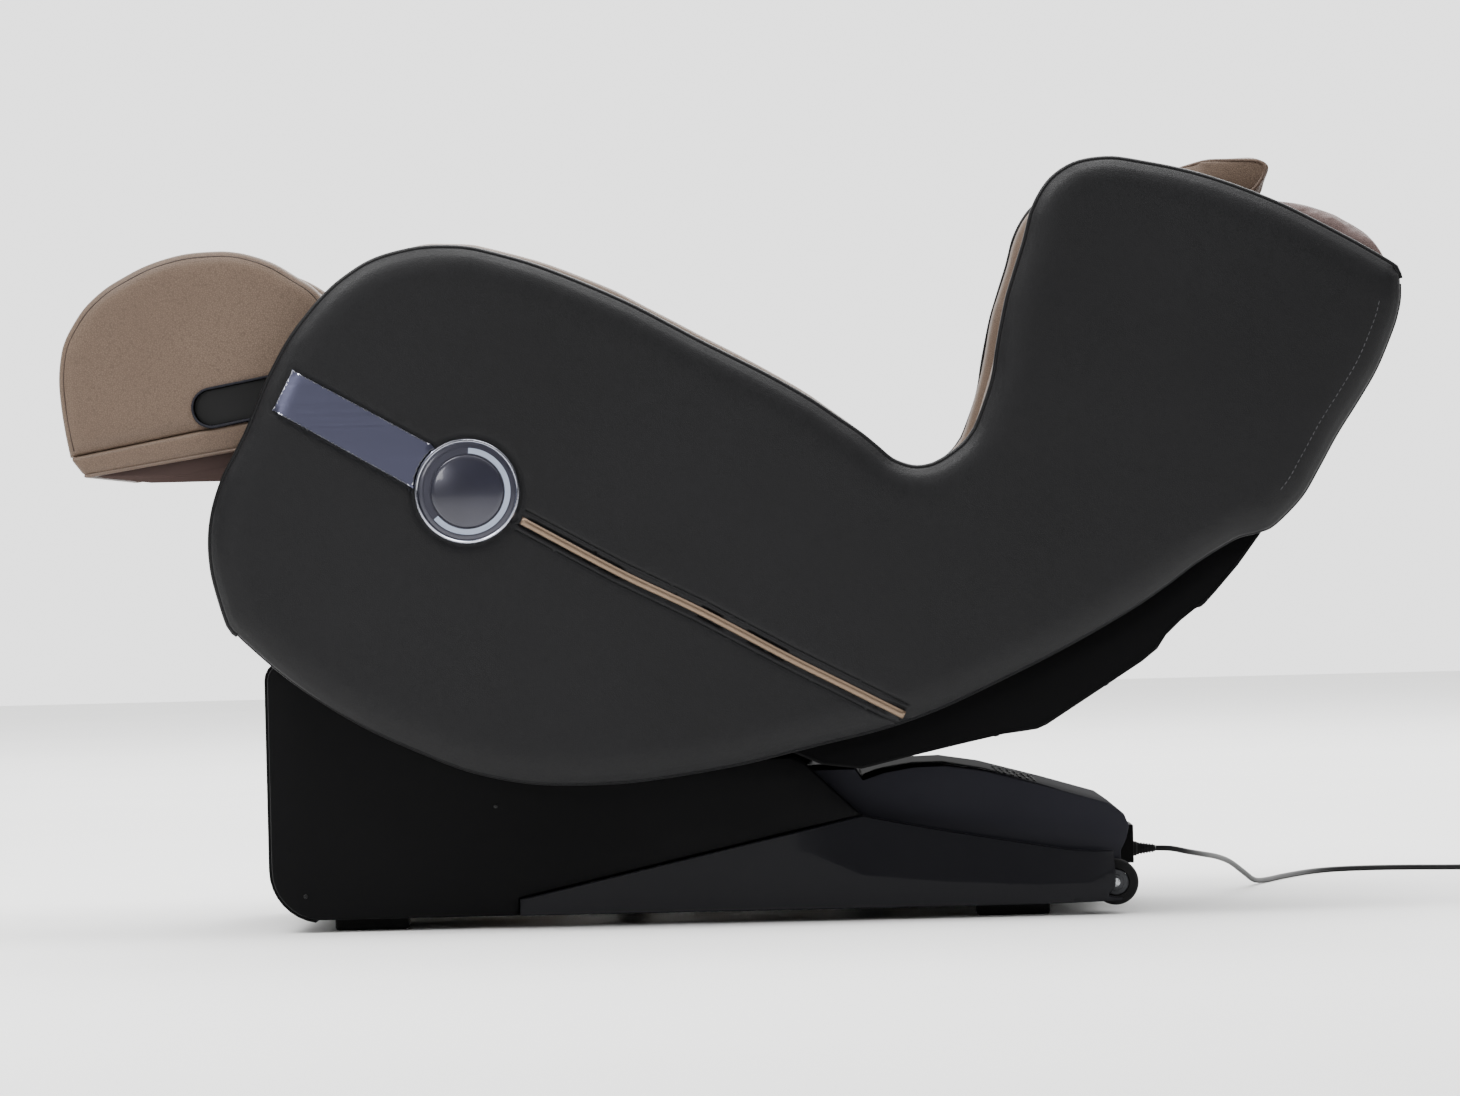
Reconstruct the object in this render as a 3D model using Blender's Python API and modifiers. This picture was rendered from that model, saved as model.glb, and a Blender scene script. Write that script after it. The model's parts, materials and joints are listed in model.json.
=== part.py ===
"""Reclining massage chair, built as an assembly and posed with its leg rest raised.

X runs from the foot end (-X) to the head end (+X), Z points up, and the origin
is on the floor under the middle of the chair. All sizes are in metres.
"""
import math

import bmesh
import bpy
from mathutils import Matrix, Vector

# ---- driving dimensions ------------------------------------------------------
GAP = 0.0003                       # air left between two pieces that touch
HALF_WIDTH = 0.380                 # to the face of the trim on the side panels
TRIM_DEPTH = 0.0077
PANEL_THICK = 0.054
LINER_THICK = 0.055
BASE_HALF = 0.262                  # half width of the plastic base
FLOOR_GAP = 0.0155                 # underside of the base above the floor
RAIL_Y = 0.200                     # centre of the base rails
RECLINE_AT = (-0.050, 0.155)       # X, Z of the shaft that the seat tilts on
KNEE_AT = (-0.470, 0.640)          # X, Z of the leg rest's shaft
WHEEL_AT = (0.455, 0.0385)
DIAL_AT = (-0.320, 0.534)
ACTUATOR_FOOT = (-0.150, 0.066)
ACTUATOR_EYE = (-0.360, 0.500)
BACK_ORIGIN = (0.100, 0.410)       # hip end of the back rest's front face
BACK_SLOPE = math.radians(40)
SLOT_START = (-0.632, 0.644)       # round end of the slot in the foot rest's side
SLOT_SLOPE = math.radians(10.2)
SLOT_HALF = 0.024
PANEL_OUT = HALF_WIDTH - TRIM_DEPTH - GAP
PANEL_IN = PANEL_OUT - PANEL_THICK
LINER_OUT = PANEL_IN - GAP
LINER_IN = LINER_OUT - LINER_THICK
SEAT_HALF = LINER_IN - 0.0012
SHAFT_R = 0.012

for old in list(bpy.data.objects):
    bpy.data.objects.remove(old)
chair = bpy.data.collections.new("massage_chair")
cutters = bpy.data.collections.new("cutters")
bpy.context.scene.collection.children.link(chair)
bpy.context.scene.collection.children.link(cutters)


# ---- finishes ----------------------------------------------------------------
def finish(name, colour, roughness, metallic=0.0):
    """A plain Principled finish from an sRGB colour."""
    look = bpy.data.materials.new(name)
    look.use_nodes = True
    shader = look.node_tree.nodes["Principled BSDF"]
    channels = [int(colour[i:i + 2], 16) / 255 for i in (0, 2, 4)]
    linear = [((c + 0.055) / 1.055) ** 2.4 if c > 0.04045 else c / 12.92 for c in channels]
    shader.inputs["Base Color"].default_value = (*linear, 1)
    shader.inputs["Roughness"].default_value = roughness
    shader.inputs["Metallic"].default_value = metallic
    return look


def own_finish(look, name):
    """Each part carries its own copy of a finish."""
    copy = look.copy()
    copy.name = f"{look.name}_{name}"
    return copy


BLACK_LEATHER = finish("black_leather", "2b2b2d", 0.45)
BEIGE_LEATHER = finish("beige_leather", "85776a", 0.5)
MAUVE_LEATHER = finish("mauve_leather", "5f4f4c", 0.55)
BLACK_PLASTIC = finish("black_plastic", "0b0b0c", 0.4)
GLOSS_PLASTIC = finish("gloss_plastic", "1d1d20", 0.15)
DARK_CHROME = finish("dark_chrome", "6b6d80", 0.18, 1.0)
DIAL_GLASS = finish("dial_glass", "42424c", 0.2)
CHAMPAGNE = finish("champagne_trim", "8f7d6c", 0.3, 0.8)
PAINTED_STEEL = finish("painted_steel", "2e2f31", 0.45, 0.3)
BRIGHT_STEEL = finish("bright_steel", "a9abae", 0.25, 1.0)
RUBBER = finish("rubber", "101011", 0.8)
GREY_NYLON = finish("grey_nylon", "5a5c60", 0.5)


# ---- shaping tools -----------------------------------------------------------
def part(name, mesh, look, body=None):
    """Names a mesh as one part of the chair, hung from a body's joint if it has one."""
    mesh.materials.clear()
    mesh.materials.append(own_finish(look, name))
    made = bpy.data.objects.new(name, mesh)
    chair.objects.link(made)
    if body is not None:
        made.parent = body
        made.matrix_parent_inverse = Matrix.Translation(body.location).inverted()
    return made


def tool(name, mesh):
    """A cutter or a piece to be welded on, which isn't a part by itself."""
    made = bpy.data.objects.new(name, mesh)
    cutters.objects.link(made)
    made.hide_render = True
    made.display_type = "WIRE"
    return made


def carve(target, other, operation="DIFFERENCE"):
    boolean = target.modifiers.new(other.name, "BOOLEAN")
    boolean.operation = operation
    boolean.solver = "EXACT"
    boolean.object = other


def weld(target, other):
    carve(target, other, "UNION")


def round_edges(target, width, segments=2):
    bevel = target.modifiers.new("rounded_edges", "BEVEL")
    bevel.width = width
    bevel.segments = segments
    bevel.limit_method = "ANGLE"
    bevel.angle_limit = math.radians(50)


def finished(bm, smooth_angle=35):
    """A mesh from a bmesh, with its faces out and its round stretches shaded smooth."""
    bmesh.ops.recalc_face_normals(bm, faces=bm.faces)
    mesh = bpy.data.meshes.new("shape")
    bm.to_mesh(mesh)
    bm.free()
    mesh.shade_smooth()
    mesh.set_sharp_from_angle(angle=math.radians(smooth_angle))
    return mesh


def plate(points, low_y, high_y, steps=0, corners=()):
    """A flat XZ outline from low_y to high_y: straight sides, or a smooth curve in steps."""
    curve = bpy.data.curves.new("outline", "CURVE")
    curve.dimensions = "2D"
    curve.fill_mode = "BOTH"
    curve.extrude = (high_y - low_y) / 2
    if steps:
        curve.resolution_u = steps
        spline = curve.splines.new("BEZIER")
        spline.bezier_points.add(len(points) - 1)
        for i, (knot, (x, z)) in enumerate(zip(spline.bezier_points, points)):
            knot.co = (x, z, 0)
            kind = "VECTOR" if i in corners else "AUTO"
            knot.handle_left_type = kind
            knot.handle_right_type = kind
    else:
        spline = curve.splines.new("POLY")
        spline.points.add(len(points) - 1)
        for knot, (x, z) in zip(spline.points, points):
            knot.co = (x, z, 0, 1)
    spline.use_cyclic_u = True
    stand = bpy.data.objects.new("outline", curve)
    bpy.context.scene.collection.objects.link(stand)
    graph = bpy.context.evaluated_depsgraph_get()
    mesh = bpy.data.meshes.new_from_object(stand.evaluated_get(graph))
    bpy.data.objects.remove(stand)
    upright = Matrix.Translation((0, (low_y + high_y) / 2, 0)) @ Matrix.Rotation(math.pi / 2, 4, "X")
    bm = bmesh.new()
    bm.from_mesh(mesh)
    bmesh.ops.transform(bm, matrix=upright, verts=bm.verts)
    bmesh.ops.remove_doubles(bm, verts=bm.verts, dist=0.00002)
    return finished(bm)


def block(low, high):
    """A box between two corners."""
    bm = bmesh.new()
    bmesh.ops.create_cube(bm, size=1)
    size = Vector(high) - Vector(low)
    middle = (Vector(high) + Vector(low)) / 2
    bmesh.ops.transform(bm, matrix=Matrix.Translation(middle) @ Matrix.Diagonal((*size, 1)), verts=bm.verts)
    return finished(bm)


def bar(start, end, radius, sides=20):
    """A round bar between two points."""
    run = Vector(end) - Vector(start)
    bm = bmesh.new()
    bmesh.ops.create_cone(bm, cap_ends=True, segments=sides, radius1=radius, radius2=radius, depth=run.length)
    place = Matrix.Translation((Vector(start) + Vector(end)) / 2) @ run.to_track_quat("Z", "Y").to_matrix().to_4x4()
    bmesh.ops.transform(bm, matrix=place, verts=bm.verts)
    return finished(bm)


def cross_bar(place, half_length, radius, sides=20):
    """A round bar that runs across the chair."""
    return bar((place[0], -half_length, place[1]), (place[0], half_length, place[1]), radius, sides)


def turned(name, look, profile, centre, direction, steps, body=None, closed=True):
    """A profile of radius and height, running down its outer side, turned about direction."""
    mesh = bpy.data.meshes.new("profile")
    edges = [(i, i + 1) for i in range(len(profile) - 1)]
    if closed:
        edges.append((len(profile) - 1, 0))
    mesh.from_pydata([(r, 0, h) for r, h in profile], edges, [])
    made = part(name, mesh, look, body)
    made.location = centre
    made.rotation_euler = Vector(direction).to_track_quat("Z", "Y").to_euler()
    screw = made.modifiers.new("turned", "SCREW")
    screw.steps = steps
    screw.render_steps = steps
    screw.use_merge_vertices = True
    screw.merge_threshold = 0.0001
    screw.use_smooth_shade = True
    return made


def ring(outer, inner, low, high):
    """Profile of a plain ring."""
    return [(outer, high), (outer, low), (inner, low), (inner, high)]


def arc(centre, radius, start, end, steps):
    """Points along an arc; angles in degrees, counter-clockwise from +X."""
    angles = [math.radians(start + (end - start) * i / steps) for i in range(steps + 1)]
    return [(centre[0] + radius * math.cos(a), centre[1] + radius * math.sin(a)) for a in angles]


def in_back(s, t):
    """X, Z of a point s up the back rest and t in front of its face."""
    x = BACK_ORIGIN[0] + s * math.cos(BACK_SLOPE) - t * math.sin(BACK_SLOPE)
    z = BACK_ORIGIN[1] + s * math.sin(BACK_SLOPE) + t * math.cos(BACK_SLOPE)
    return x, z


def in_slot(s, t):
    """X, Z of a point s along the foot rest's slot and t above its middle."""
    x = SLOT_START[0] + s * math.cos(SLOT_SLOPE) - t * math.sin(SLOT_SLOPE)
    z = SLOT_START[1] + s * math.sin(SLOT_SLOPE) + t * math.cos(SLOT_SLOPE)
    return x, z


def span(side, near, far):
    """Y range of a piece between two distances from the middle, on one side."""
    return sorted((side * near, side * far))


def joint_point(name, place, parent=None):
    """An empty on a joint's axis, which the moving body's parts hang from."""
    empty = bpy.data.objects.new(name, None)
    bpy.context.scene.collection.objects.link(empty)
    empty.location = (place[0], 0, place[1]) if len(place) == 2 else place
    if parent is not None:
        empty.parent = parent
        empty.matrix_parent_inverse = Matrix.Translation(parent.location).inverted()
    return empty


SIDES = ((-1, "left"), (1, "right"))
recline = joint_point("recline_joint", RECLINE_AT)
knee = joint_point("leg_rest_joint", KNEE_AT, recline)
foot_slide = joint_point("foot_rest_joint", SLOT_START, knee)
carriage_slide = joint_point("carriage_joint", in_back(0.16, -0.113), recline)
tube_hinge = joint_point("actuator_joint", ACTUATOR_FOOT)


# ---- base --------------------------------------------------------------------
RAIL_HALF = 0.015
RAIL_LOW, RAIL_HIGH = 0.017, 0.052
FRONT_X = -0.576
COVER_TOP = 0.331
CORNER_R = 0.062


def base_frame():
    """Two long rails, four cross members, the shaft uprights and the actuator's foot, welded."""
    shape = block((-0.516, -RAIL_Y - RAIL_HALF, RAIL_LOW), (0.468, -RAIL_Y + RAIL_HALF, RAIL_HIGH))
    frame = part("base_frame", shape, PAINTED_STEEL)
    low, high = RAIL_LOW + 0.003, RAIL_HIGH - 0.004
    pieces = [("rail", block((-0.516, RAIL_Y - RAIL_HALF, RAIL_LOW), (0.468, RAIL_Y + RAIL_HALF, RAIL_HIGH)))]
    for x in (-0.480, -0.150, 0.120, 0.415):
        pieces.append(("cross_member", block((x - 0.020, -RAIL_Y, low), (x + 0.020, RAIL_Y, high))))
    for side, _ in SIDES:
        y0, y1 = span(side, RAIL_Y - 0.008, RAIL_Y + 0.008)
        x, z = RECLINE_AT
        upright = [(x - 0.050, high), (x + 0.050, high), *arc((x, z), 0.026, 10, 170, 8)]
        pieces.append(("upright", plate(upright, y0, y1)))
        y0, y1 = span(side, 0.0165, 0.0225)
        x, z = ACTUATOR_FOOT
        lug = [(x - 0.016, low + 0.006), (x + 0.016, low + 0.006), *arc((x, z), 0.015, 0, 180, 8)]
        pieces.append(("lug", plate(lug, y0, y1)))
    pieces.append(("foot_pin", cross_bar(ACTUATOR_FOOT, 0.0205, 0.0065, 16)))
    for name, mesh in pieces:
        weld(frame, tool(name, mesh))
    carve(frame, tool("shaft_hole", cross_bar(RECLINE_AT, 0.26, SHAFT_R + 0.0005)))
    carve(frame, tool("axle_hole", cross_bar(WHEEL_AT, 0.26, 0.0054, 16)))


def side_cover(side, tag):
    """Flat black moulding over one side of the base, down to the skirt's slanting seam."""
    outline = [
        (-0.512, FLOOR_GAP), (-0.2733, FLOOR_GAP), (-0.2733, 0.036), (0.1466, 0.1283), (0.071, 0.201),
        (-0.200, 0.208), (-0.300, 0.240), (-0.440, 0.305), (-0.500, COVER_TOP),
        *arc((FRONT_X + 0.022, COVER_TOP - 0.022), 0.022, 90, 180, 5),
        *arc((FRONT_X + CORNER_R, FLOOR_GAP + CORNER_R), CORNER_R, 180, 265, 8),
    ]
    y0, y1 = span(side, BASE_HALF - 0.008, BASE_HALF)
    part(f"base_side_cover_{tag}", plate(outline, y0, y1), BLACK_PLASTIC)


def front_cover():
    """Curved sheet that closes the front of the base between the side covers."""
    profile = [
        (-0.500, COVER_TOP), *arc((FRONT_X + 0.022, COVER_TOP - 0.022), 0.022, 90, 180, 5),
        *arc((FRONT_X + CORNER_R, FLOOR_GAP + CORNER_R), CORNER_R, 180, 262, 8),
    ]
    part("base_front_cover", sheet(profile, BASE_HALF - 0.008 - GAP), BLACK_PLASTIC)
    thicken(bpy.data.objects["base_front_cover"], 0.004, 1)


def sheet(profile, half):
    """An open surface: a profile in XZ drawn out across the chair."""
    bm = bmesh.new()
    rows = [[bm.verts.new((x, y, z)) for x, z in profile] for y in (-half, half)]
    for i in range(len(profile) - 1):
        bm.faces.new((rows[0][i], rows[0][i + 1], rows[1][i + 1], rows[1][i]))
    mesh = bpy.data.meshes.new("sheet")
    bm.to_mesh(mesh)
    bm.free()
    mesh.shade_smooth()
    mesh.set_sharp_from_angle(angle=math.radians(35))
    return mesh


def thicken(target, thickness, side):
    """Gives a sheet its wall, on the side that its faces point to (-1) or away from it (1)."""
    solid = target.modifiers.new("wall", "SOLIDIFY")
    solid.thickness = thickness
    solid.offset = -side
    solid.use_even_offset = True


def skirt(side, tag):
    """Lower rear moulding with a sloping upper face."""
    face = [
        (-0.2727, FLOOR_GAP), (0.400, FLOOR_GAP), *arc((0.437, 0.040), 0.017, -60, 0, 4),
        (0.4525, 0.078), (0.406, 0.080), (0.334, 0.092), (0.239, 0.109), (0.1474, 0.1277), (-0.2727, 0.0354),
    ]
    y0, y1 = span(side, BASE_HALF - 0.004, BASE_HALF + 0.008)
    part(f"base_skirt_{tag}", plate(face, y0, y1), GLOSS_PLASTIC)


def rear_cover():
    """Hump over the rear of the base, with a raised front lip, open below and in front, notched for the inlet."""
    hood = [
        (0.062, 0.062), (0.062, 0.1835), (0.1395, 0.1835), (0.149, 0.1695), (0.175, 0.178), (0.212, 0.184),
        (0.250, 0.185), (0.300, 0.177), (0.380, 0.155),
        (0.450, 0.134), (0.468, 0.121), (0.474, 0.106), (0.470, 0.090), (0.463, 0.076), (0.463, 0.062),
    ]
    inside = [
        (0.040, 0.040), (0.040, 0.1795), (0.1372, 0.1795), (0.1470, 0.1650), (0.175, 0.1738), (0.212, 0.1798),
        (0.250, 0.1808), (0.300, 0.1729),
        (0.380, 0.151), (0.447, 0.131), (0.4637, 0.1185), (0.4697, 0.1055), (0.466, 0.091), (0.459, 0.077),
        (0.459, 0.040),
    ]
    cover = part("rear_cover", plate(hood, -0.2220, 0.2220), GLOSS_PLASTIC)
    carve(cover, tool("hood_inside", plate(inside, -0.2180, 0.2180)))
    carve(cover, tool("inlet_notch", block((0.440, -0.0523, 0.050), (0.500, 0.0523, 0.1003))))


def power_inlet():
    """Inlet block at the rear, with a recess for the rocker switch."""
    inlet = part("power_inlet", block((0.4050, -0.052, 0.0523), (0.4870, 0.052, 0.100)), BLACK_PLASTIC)
    carve(inlet, tool("rocker_recess", block((0.4755, 0.0115, 0.0620), (0.4900, 0.0325, 0.0920))))


def feet():
    for side, tag in SIDES:
        for x, end in ((-0.4575, "front"), (0.330, "rear")):
            y = side * RAIL_Y
            foot = part(f"{end}_foot_{tag}", block((x - 0.045, y - 0.022, 0), (x + 0.045, y + 0.022, RAIL_LOW - GAP)), RUBBER)
            round_edges(foot, 0.004)


def wheels():
    axle_half = BASE_HALF - 0.010
    part("wheel_axle", cross_bar(WHEEL_AT, axle_half, 0.005, 16), BRIGHT_STEEL)
    tyre = [(0.028, 0.008), (0.028, -0.008), (0.025, -0.011), (0.0056, -0.011), (0.0056, 0.011), (0.025, 0.011)]
    for side, tag in SIDES:
        centre = (WHEEL_AT[0], side * 0.2365, WHEEL_AT[1])
        turned(f"transport_wheel_{tag}", RUBBER, tyre, centre, (0, 1, 0), 28)


def base_internals():
    box = part("control_box", block((-0.500, -0.175, 0.0485), (-0.300, -0.050, 0.118)), PAINTED_STEEL)
    round_edges(box, 0.004, 1)
    pump = part("air_pump", block((0.100, 0.035, 0.0485), (0.245, 0.165, 0.128)), GREY_NYLON)
    round_edges(pump, 0.010, 2)
    part("recline_shaft", cross_bar(RECLINE_AT, 0.2345, SHAFT_R, 24), BRIGHT_STEEL)


base_frame()
front_cover()
for side, tag in SIDES:
    side_cover(side, tag)
    skirt(side, tag)
rear_cover()
power_inlet()
feet()
wheels()
base_internals()
rocker_hinge = joint_point("switch_joint", (0.4845, 0.022, 0.077))
rocker = part("power_switch", block((0.4802, 0.0135, 0.0650), (0.4890, 0.0305, 0.0890)), BLACK_PLASTIC, rocker_hinge)
round_edges(rocker, 0.0015, 1)


# ---- seat lift ---------------------------------------------------------------
def recline_actuator():
    """Motor tube on the base and rod to the seat frame; both lie on one line."""
    foot, eye = Vector((ACTUATOR_FOOT[0], 0, ACTUATOR_FOOT[1])), Vector((ACTUATOR_EYE[0], 0, ACTUATOR_EYE[1]))
    run = (eye - foot).normalized()
    reach = (eye - foot).length
    housing = [
        (0.0215, 0.325), (0.0215, 0.115), (0.0320, 0.105), (0.0320, 0.030), (0.0150, 0.021), (0.0, 0.021),
        (0.0, 0.100), (0.0112, 0.100), (0.0112, 0.325),
    ]
    tube = turned("actuator_tube", PAINTED_STEEL, housing, foot, run, 24, tube_hinge, closed=True)
    weld(tube, tool("tail_lug", bar(foot - Vector((0, 0.013, 0)), foot + Vector((0, 0.013, 0)), 0.0135)))
    weld(tube, tool("tail_neck", bar(foot, foot + run * 0.045, 0.0125)))
    carve(tube, tool("tail_bore", cross_bar(ACTUATOR_FOOT, 0.05, 0.0070, 16)))
    rod = part("actuator_rod", bar(foot + run * 0.172, foot + run * (reach - 0.012), 0.0105), BRIGHT_STEEL, tube_hinge)
    weld(rod, tool("rod_eye", cross_bar(ACTUATOR_EYE, 0.0118, 0.0185, 24)))
    carve(rod, tool("eye_bore", cross_bar(ACTUATOR_EYE, 0.05, 0.0115, 20)))


recline_actuator()

# ---- seat and back frame, which tilts on the recline shaft -------------------
RAIL_IN, RAIL_OUT = 0.224, 0.232
FRONT_CROSS_AT = (-0.400, 0.580)
HIP_CROSS_AT = in_back(-0.050, -0.115)
TOP_CROSS_AT = in_back(0.660, -0.115)
TUBE_R = 0.015


def seat_rail(side, tag):
    """Steel side plate from the leg rest's shaft to the hip, with a leg down to the recline shaft."""
    outline = [
        *arc(KNEE_AT, 0.026, 60, 250, 8), (-0.330, 0.535), (-0.170, 0.400), (-0.105, 0.240),
        *arc(RECLINE_AT, 0.028, 190, 350, 8), (0.030, 0.260), (0.120, 0.262), (0.165, 0.290), (0.150, 0.318),
        (0.060, 0.350), (-0.120, 0.470), (-0.300, 0.588), (-0.420, 0.652),
    ]
    y0, y1 = span(side, RAIL_IN, RAIL_OUT)
    rail = part(f"seat_rail_{tag}", plate(outline, y0, y1), PAINTED_STEEL, recline)
    for name, place in (("recline_bore", RECLINE_AT), ("knee_bore", KNEE_AT)):
        carve(rail, tool(f"{name}_{tag}", cross_bar(place, 0.3, SHAFT_R + 0.0006)))


def cross_tubes():
    """Front tube with the actuator's clevis, hip tube and top tube."""
    half = RAIL_IN - GAP
    front = part("front_cross_tube", cross_bar(FRONT_CROSS_AT, half, TUBE_R), PAINTED_STEEL, recline)
    for side, tag in SIDES:
        y0, y1 = span(side, 0.0165, 0.0225)
        lug = [
            *arc(ACTUATOR_EYE, 0.014, 200, 350, 6), (FRONT_CROSS_AT[0] + 0.012, FRONT_CROSS_AT[1]),
            (FRONT_CROSS_AT[0] - 0.012, FRONT_CROSS_AT[1]),
        ]
        weld(front, tool(f"clevis_lug_{tag}", plate(lug, y0, y1)))
    weld(front, tool("clevis_pin", cross_bar(ACTUATOR_EYE, 0.0205, 0.0065, 16)))
    part("hip_cross_tube", cross_bar(HIP_CROSS_AT, half, TUBE_R), PAINTED_STEEL, recline)
    part("top_cross_tube", cross_bar(TOP_CROSS_AT, 0.250, TUBE_R), PAINTED_STEEL, recline)


def track_rail(side, tag):
    """Straight length of the massage track, which also carries the back rest."""
    ends = (-0.050 + TUBE_R + GAP, 0.660 - TUBE_R - GAP)
    outline = [in_back(s, t) for s, t in ((ends[0], -0.130), (ends[1], -0.130), (ends[1], -0.100), (ends[0], -0.100))]
    y0, y1 = span(side, 0.0895, 0.0995)
    part(f"track_rail_{tag}", plate(outline, y0, y1), PAINTED_STEEL, recline)


def massage_carriage():
    """Carriage that climbs the track, and the kneading rollers that turn in it."""
    centre = in_back(0.160, -0.113)
    back_plate = [in_back(s, t) for s, t in ((0.100, -0.166), (0.220, -0.166), (0.220, -0.156), (0.100, -0.156))]
    carriage = part("massage_carriage", plate(back_plate, -0.0875, 0.0875), GREY_NYLON, carriage_slide)
    for side, tag in SIDES:
        cheek = [in_back(s, t) for s, t in ((0.105, -0.161), (0.215, -0.161), (0.190, -0.095), (0.130, -0.095))]
        y0, y1 = span(side, 0.0775, 0.0870)
        weld(carriage, tool(f"cheek_{tag}", plate(cheek, y0, y1)))
    carve(carriage, tool("roller_bore", cross_bar(centre, 0.12, 0.0086)))
    shaft, disc = 0.008, 0.037
    profile = [
        (0.0, 0.085), (shaft, 0.085), (shaft, 0.066), (disc - 0.008, 0.063), (disc, 0.055), (disc, 0.043),
        (disc - 0.008, 0.035), (shaft + 0.004, 0.030),
    ]
    mirrored = [(r, -h) for r, h in reversed(profile)]
    roller_joint = joint_point("roller_joint", centre, carriage_slide)
    turned(
        "kneading_rollers", GREY_NYLON, profile + mirrored, (centre[0], 0, centre[1]), (0, 1, 0), 24,
        roller_joint, closed=False,
    )


def leg_motor():
    """Tubular gear motor around the leg rest's shaft."""
    profile = ring(0.026, SHAFT_R + 0.0006, -0.100, 0.100)
    turned("leg_rest_motor", PAINTED_STEEL, profile, (KNEE_AT[0], 0, KNEE_AT[1]), (0, 1, 0), 28, recline)


for side, tag in SIDES:
    seat_rail(side, tag)
    track_rail(side, tag)
cross_tubes()
massage_carriage()
leg_motor()

# ---- upholstered shell -------------------------------------------------------
PANEL_OUTLINE = [
    (-0.613, 0.380), (-0.632, 0.459), (-0.624, 0.531), (-0.584, 0.614), (-0.552, 0.685), (-0.514, 0.744),
    (-0.447, 0.805), (-0.392, 0.825), (-0.338, 0.829), (-0.296, 0.823), (-0.153, 0.770), (-0.035, 0.707),
    (0.084, 0.641), (0.154, 0.592), (0.216, 0.550), (0.270, 0.568), (0.299, 0.604), (0.336, 0.747),
    (0.359, 0.818), (0.376, 0.869), (0.406, 0.903), (0.450, 0.916), (0.498, 0.911), (0.617, 0.877),
    (0.748, 0.812), (0.805, 0.777), (0.810, 0.763), (0.799, 0.700), (0.730, 0.578), (0.653, 0.471),
    (0.601, 0.453), (0.479, 0.374), (0.307, 0.286), (0.203, 0.244), (0.097, 0.218), (-0.039, 0.190),
    (-0.200, 0.177), (-0.300, 0.189), (-0.380, 0.218), (-0.498, 0.281), (-0.596, 0.361),
]
LINER_OUTLINE = [
    (-0.430, 0.620), (-0.432, 0.792), (-0.392, 0.829), (-0.338, 0.835), (-0.296, 0.830), (-0.153, 0.780),
    (-0.100, 0.752), (-0.035, 0.716), (0.084, 0.648), (0.154, 0.596), (0.216, 0.552), (0.268, 0.568),
    (0.298, 0.606), (0.335, 0.747), (0.358, 0.816), (0.375, 0.866), (0.406, 0.900), (0.450, 0.912),
    (0.498, 0.907), (0.617, 0.873), (0.745, 0.809), (0.792, 0.775), (0.730, 0.640), (0.560, 0.480),
    (0.330, 0.330), (0.100, 0.300), (-0.150, 0.420),
]


def side_panel(side, tag):
    """Black padded outer panel, arm and wing in one."""
    y0, y1 = span(side, PANEL_IN, PANEL_OUT)
    part(f"side_panel_{tag}", plate(PANEL_OUTLINE, y0, y1, 3, (0, 25)), BLACK_LEATHER, recline)


def arm_liner(side, tag):
    """Beige padded inner side of the arm and wing, standing a little over the panel's piping."""
    y0, y1 = span(side, LINER_IN, LINER_OUT)
    part(f"arm_liner_{tag}", plate(LINER_OUTLINE, y0, y1, 2, (0, 1, 21, 26)), BEIGE_LEATHER, recline)


def trim(side, tag):
    """Chrome blade, lit dial and champagne stripe on the outer face of a side panel."""
    face = PANEL_OUT + GAP
    blade_end = arc(DIAL_AT, 0.0648, 176, 126, 6)
    blade = [(-0.527, 0.686), (-0.553, 0.637), *blade_end, (-0.362, 0.592)]
    y0, y1 = span(side, face, face + 0.0055)
    part(f"chrome_blade_{tag}", plate(blade, y0, y1), DARK_CHROME, recline)
    centre, out = (DIAL_AT[0], side * face, DIAL_AT[1]), (0, side, 0)
    turned(f"dial_bezel_{tag}", DARK_CHROME, ring(0.0640, 0.0588, 0, TRIM_DEPTH), centre, out, 48, recline)
    face_profile = [
        (0.0585, 0.0040), (0.0585, 0), (0, 0), (0, 0.0070), (0.020, 0.0066), (0.036, 0.0054), (0.0445, 0.0042),
    ]
    turned(f"dial_face_{tag}", DIAL_GLASS, face_profile, centre, out, 40, recline)
    middle = [(-0.256, 0.4975), (-0.138, 0.431), (-0.043, 0.383), (0.061, 0.325), (0.131, 0.288), (0.200, 0.2515)]
    half = 0.0048
    over = [(x + half * 0.47, z + half * 0.88) for x, z in middle]
    under = [(x - half * 0.47, z - half * 0.88) for x, z in reversed(middle)]
    y0, y1 = span(side, face, face + 0.0040)
    part(f"champagne_stripe_{tag}", plate(over + under, y0, y1), CHAMPAGNE, recline)


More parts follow.
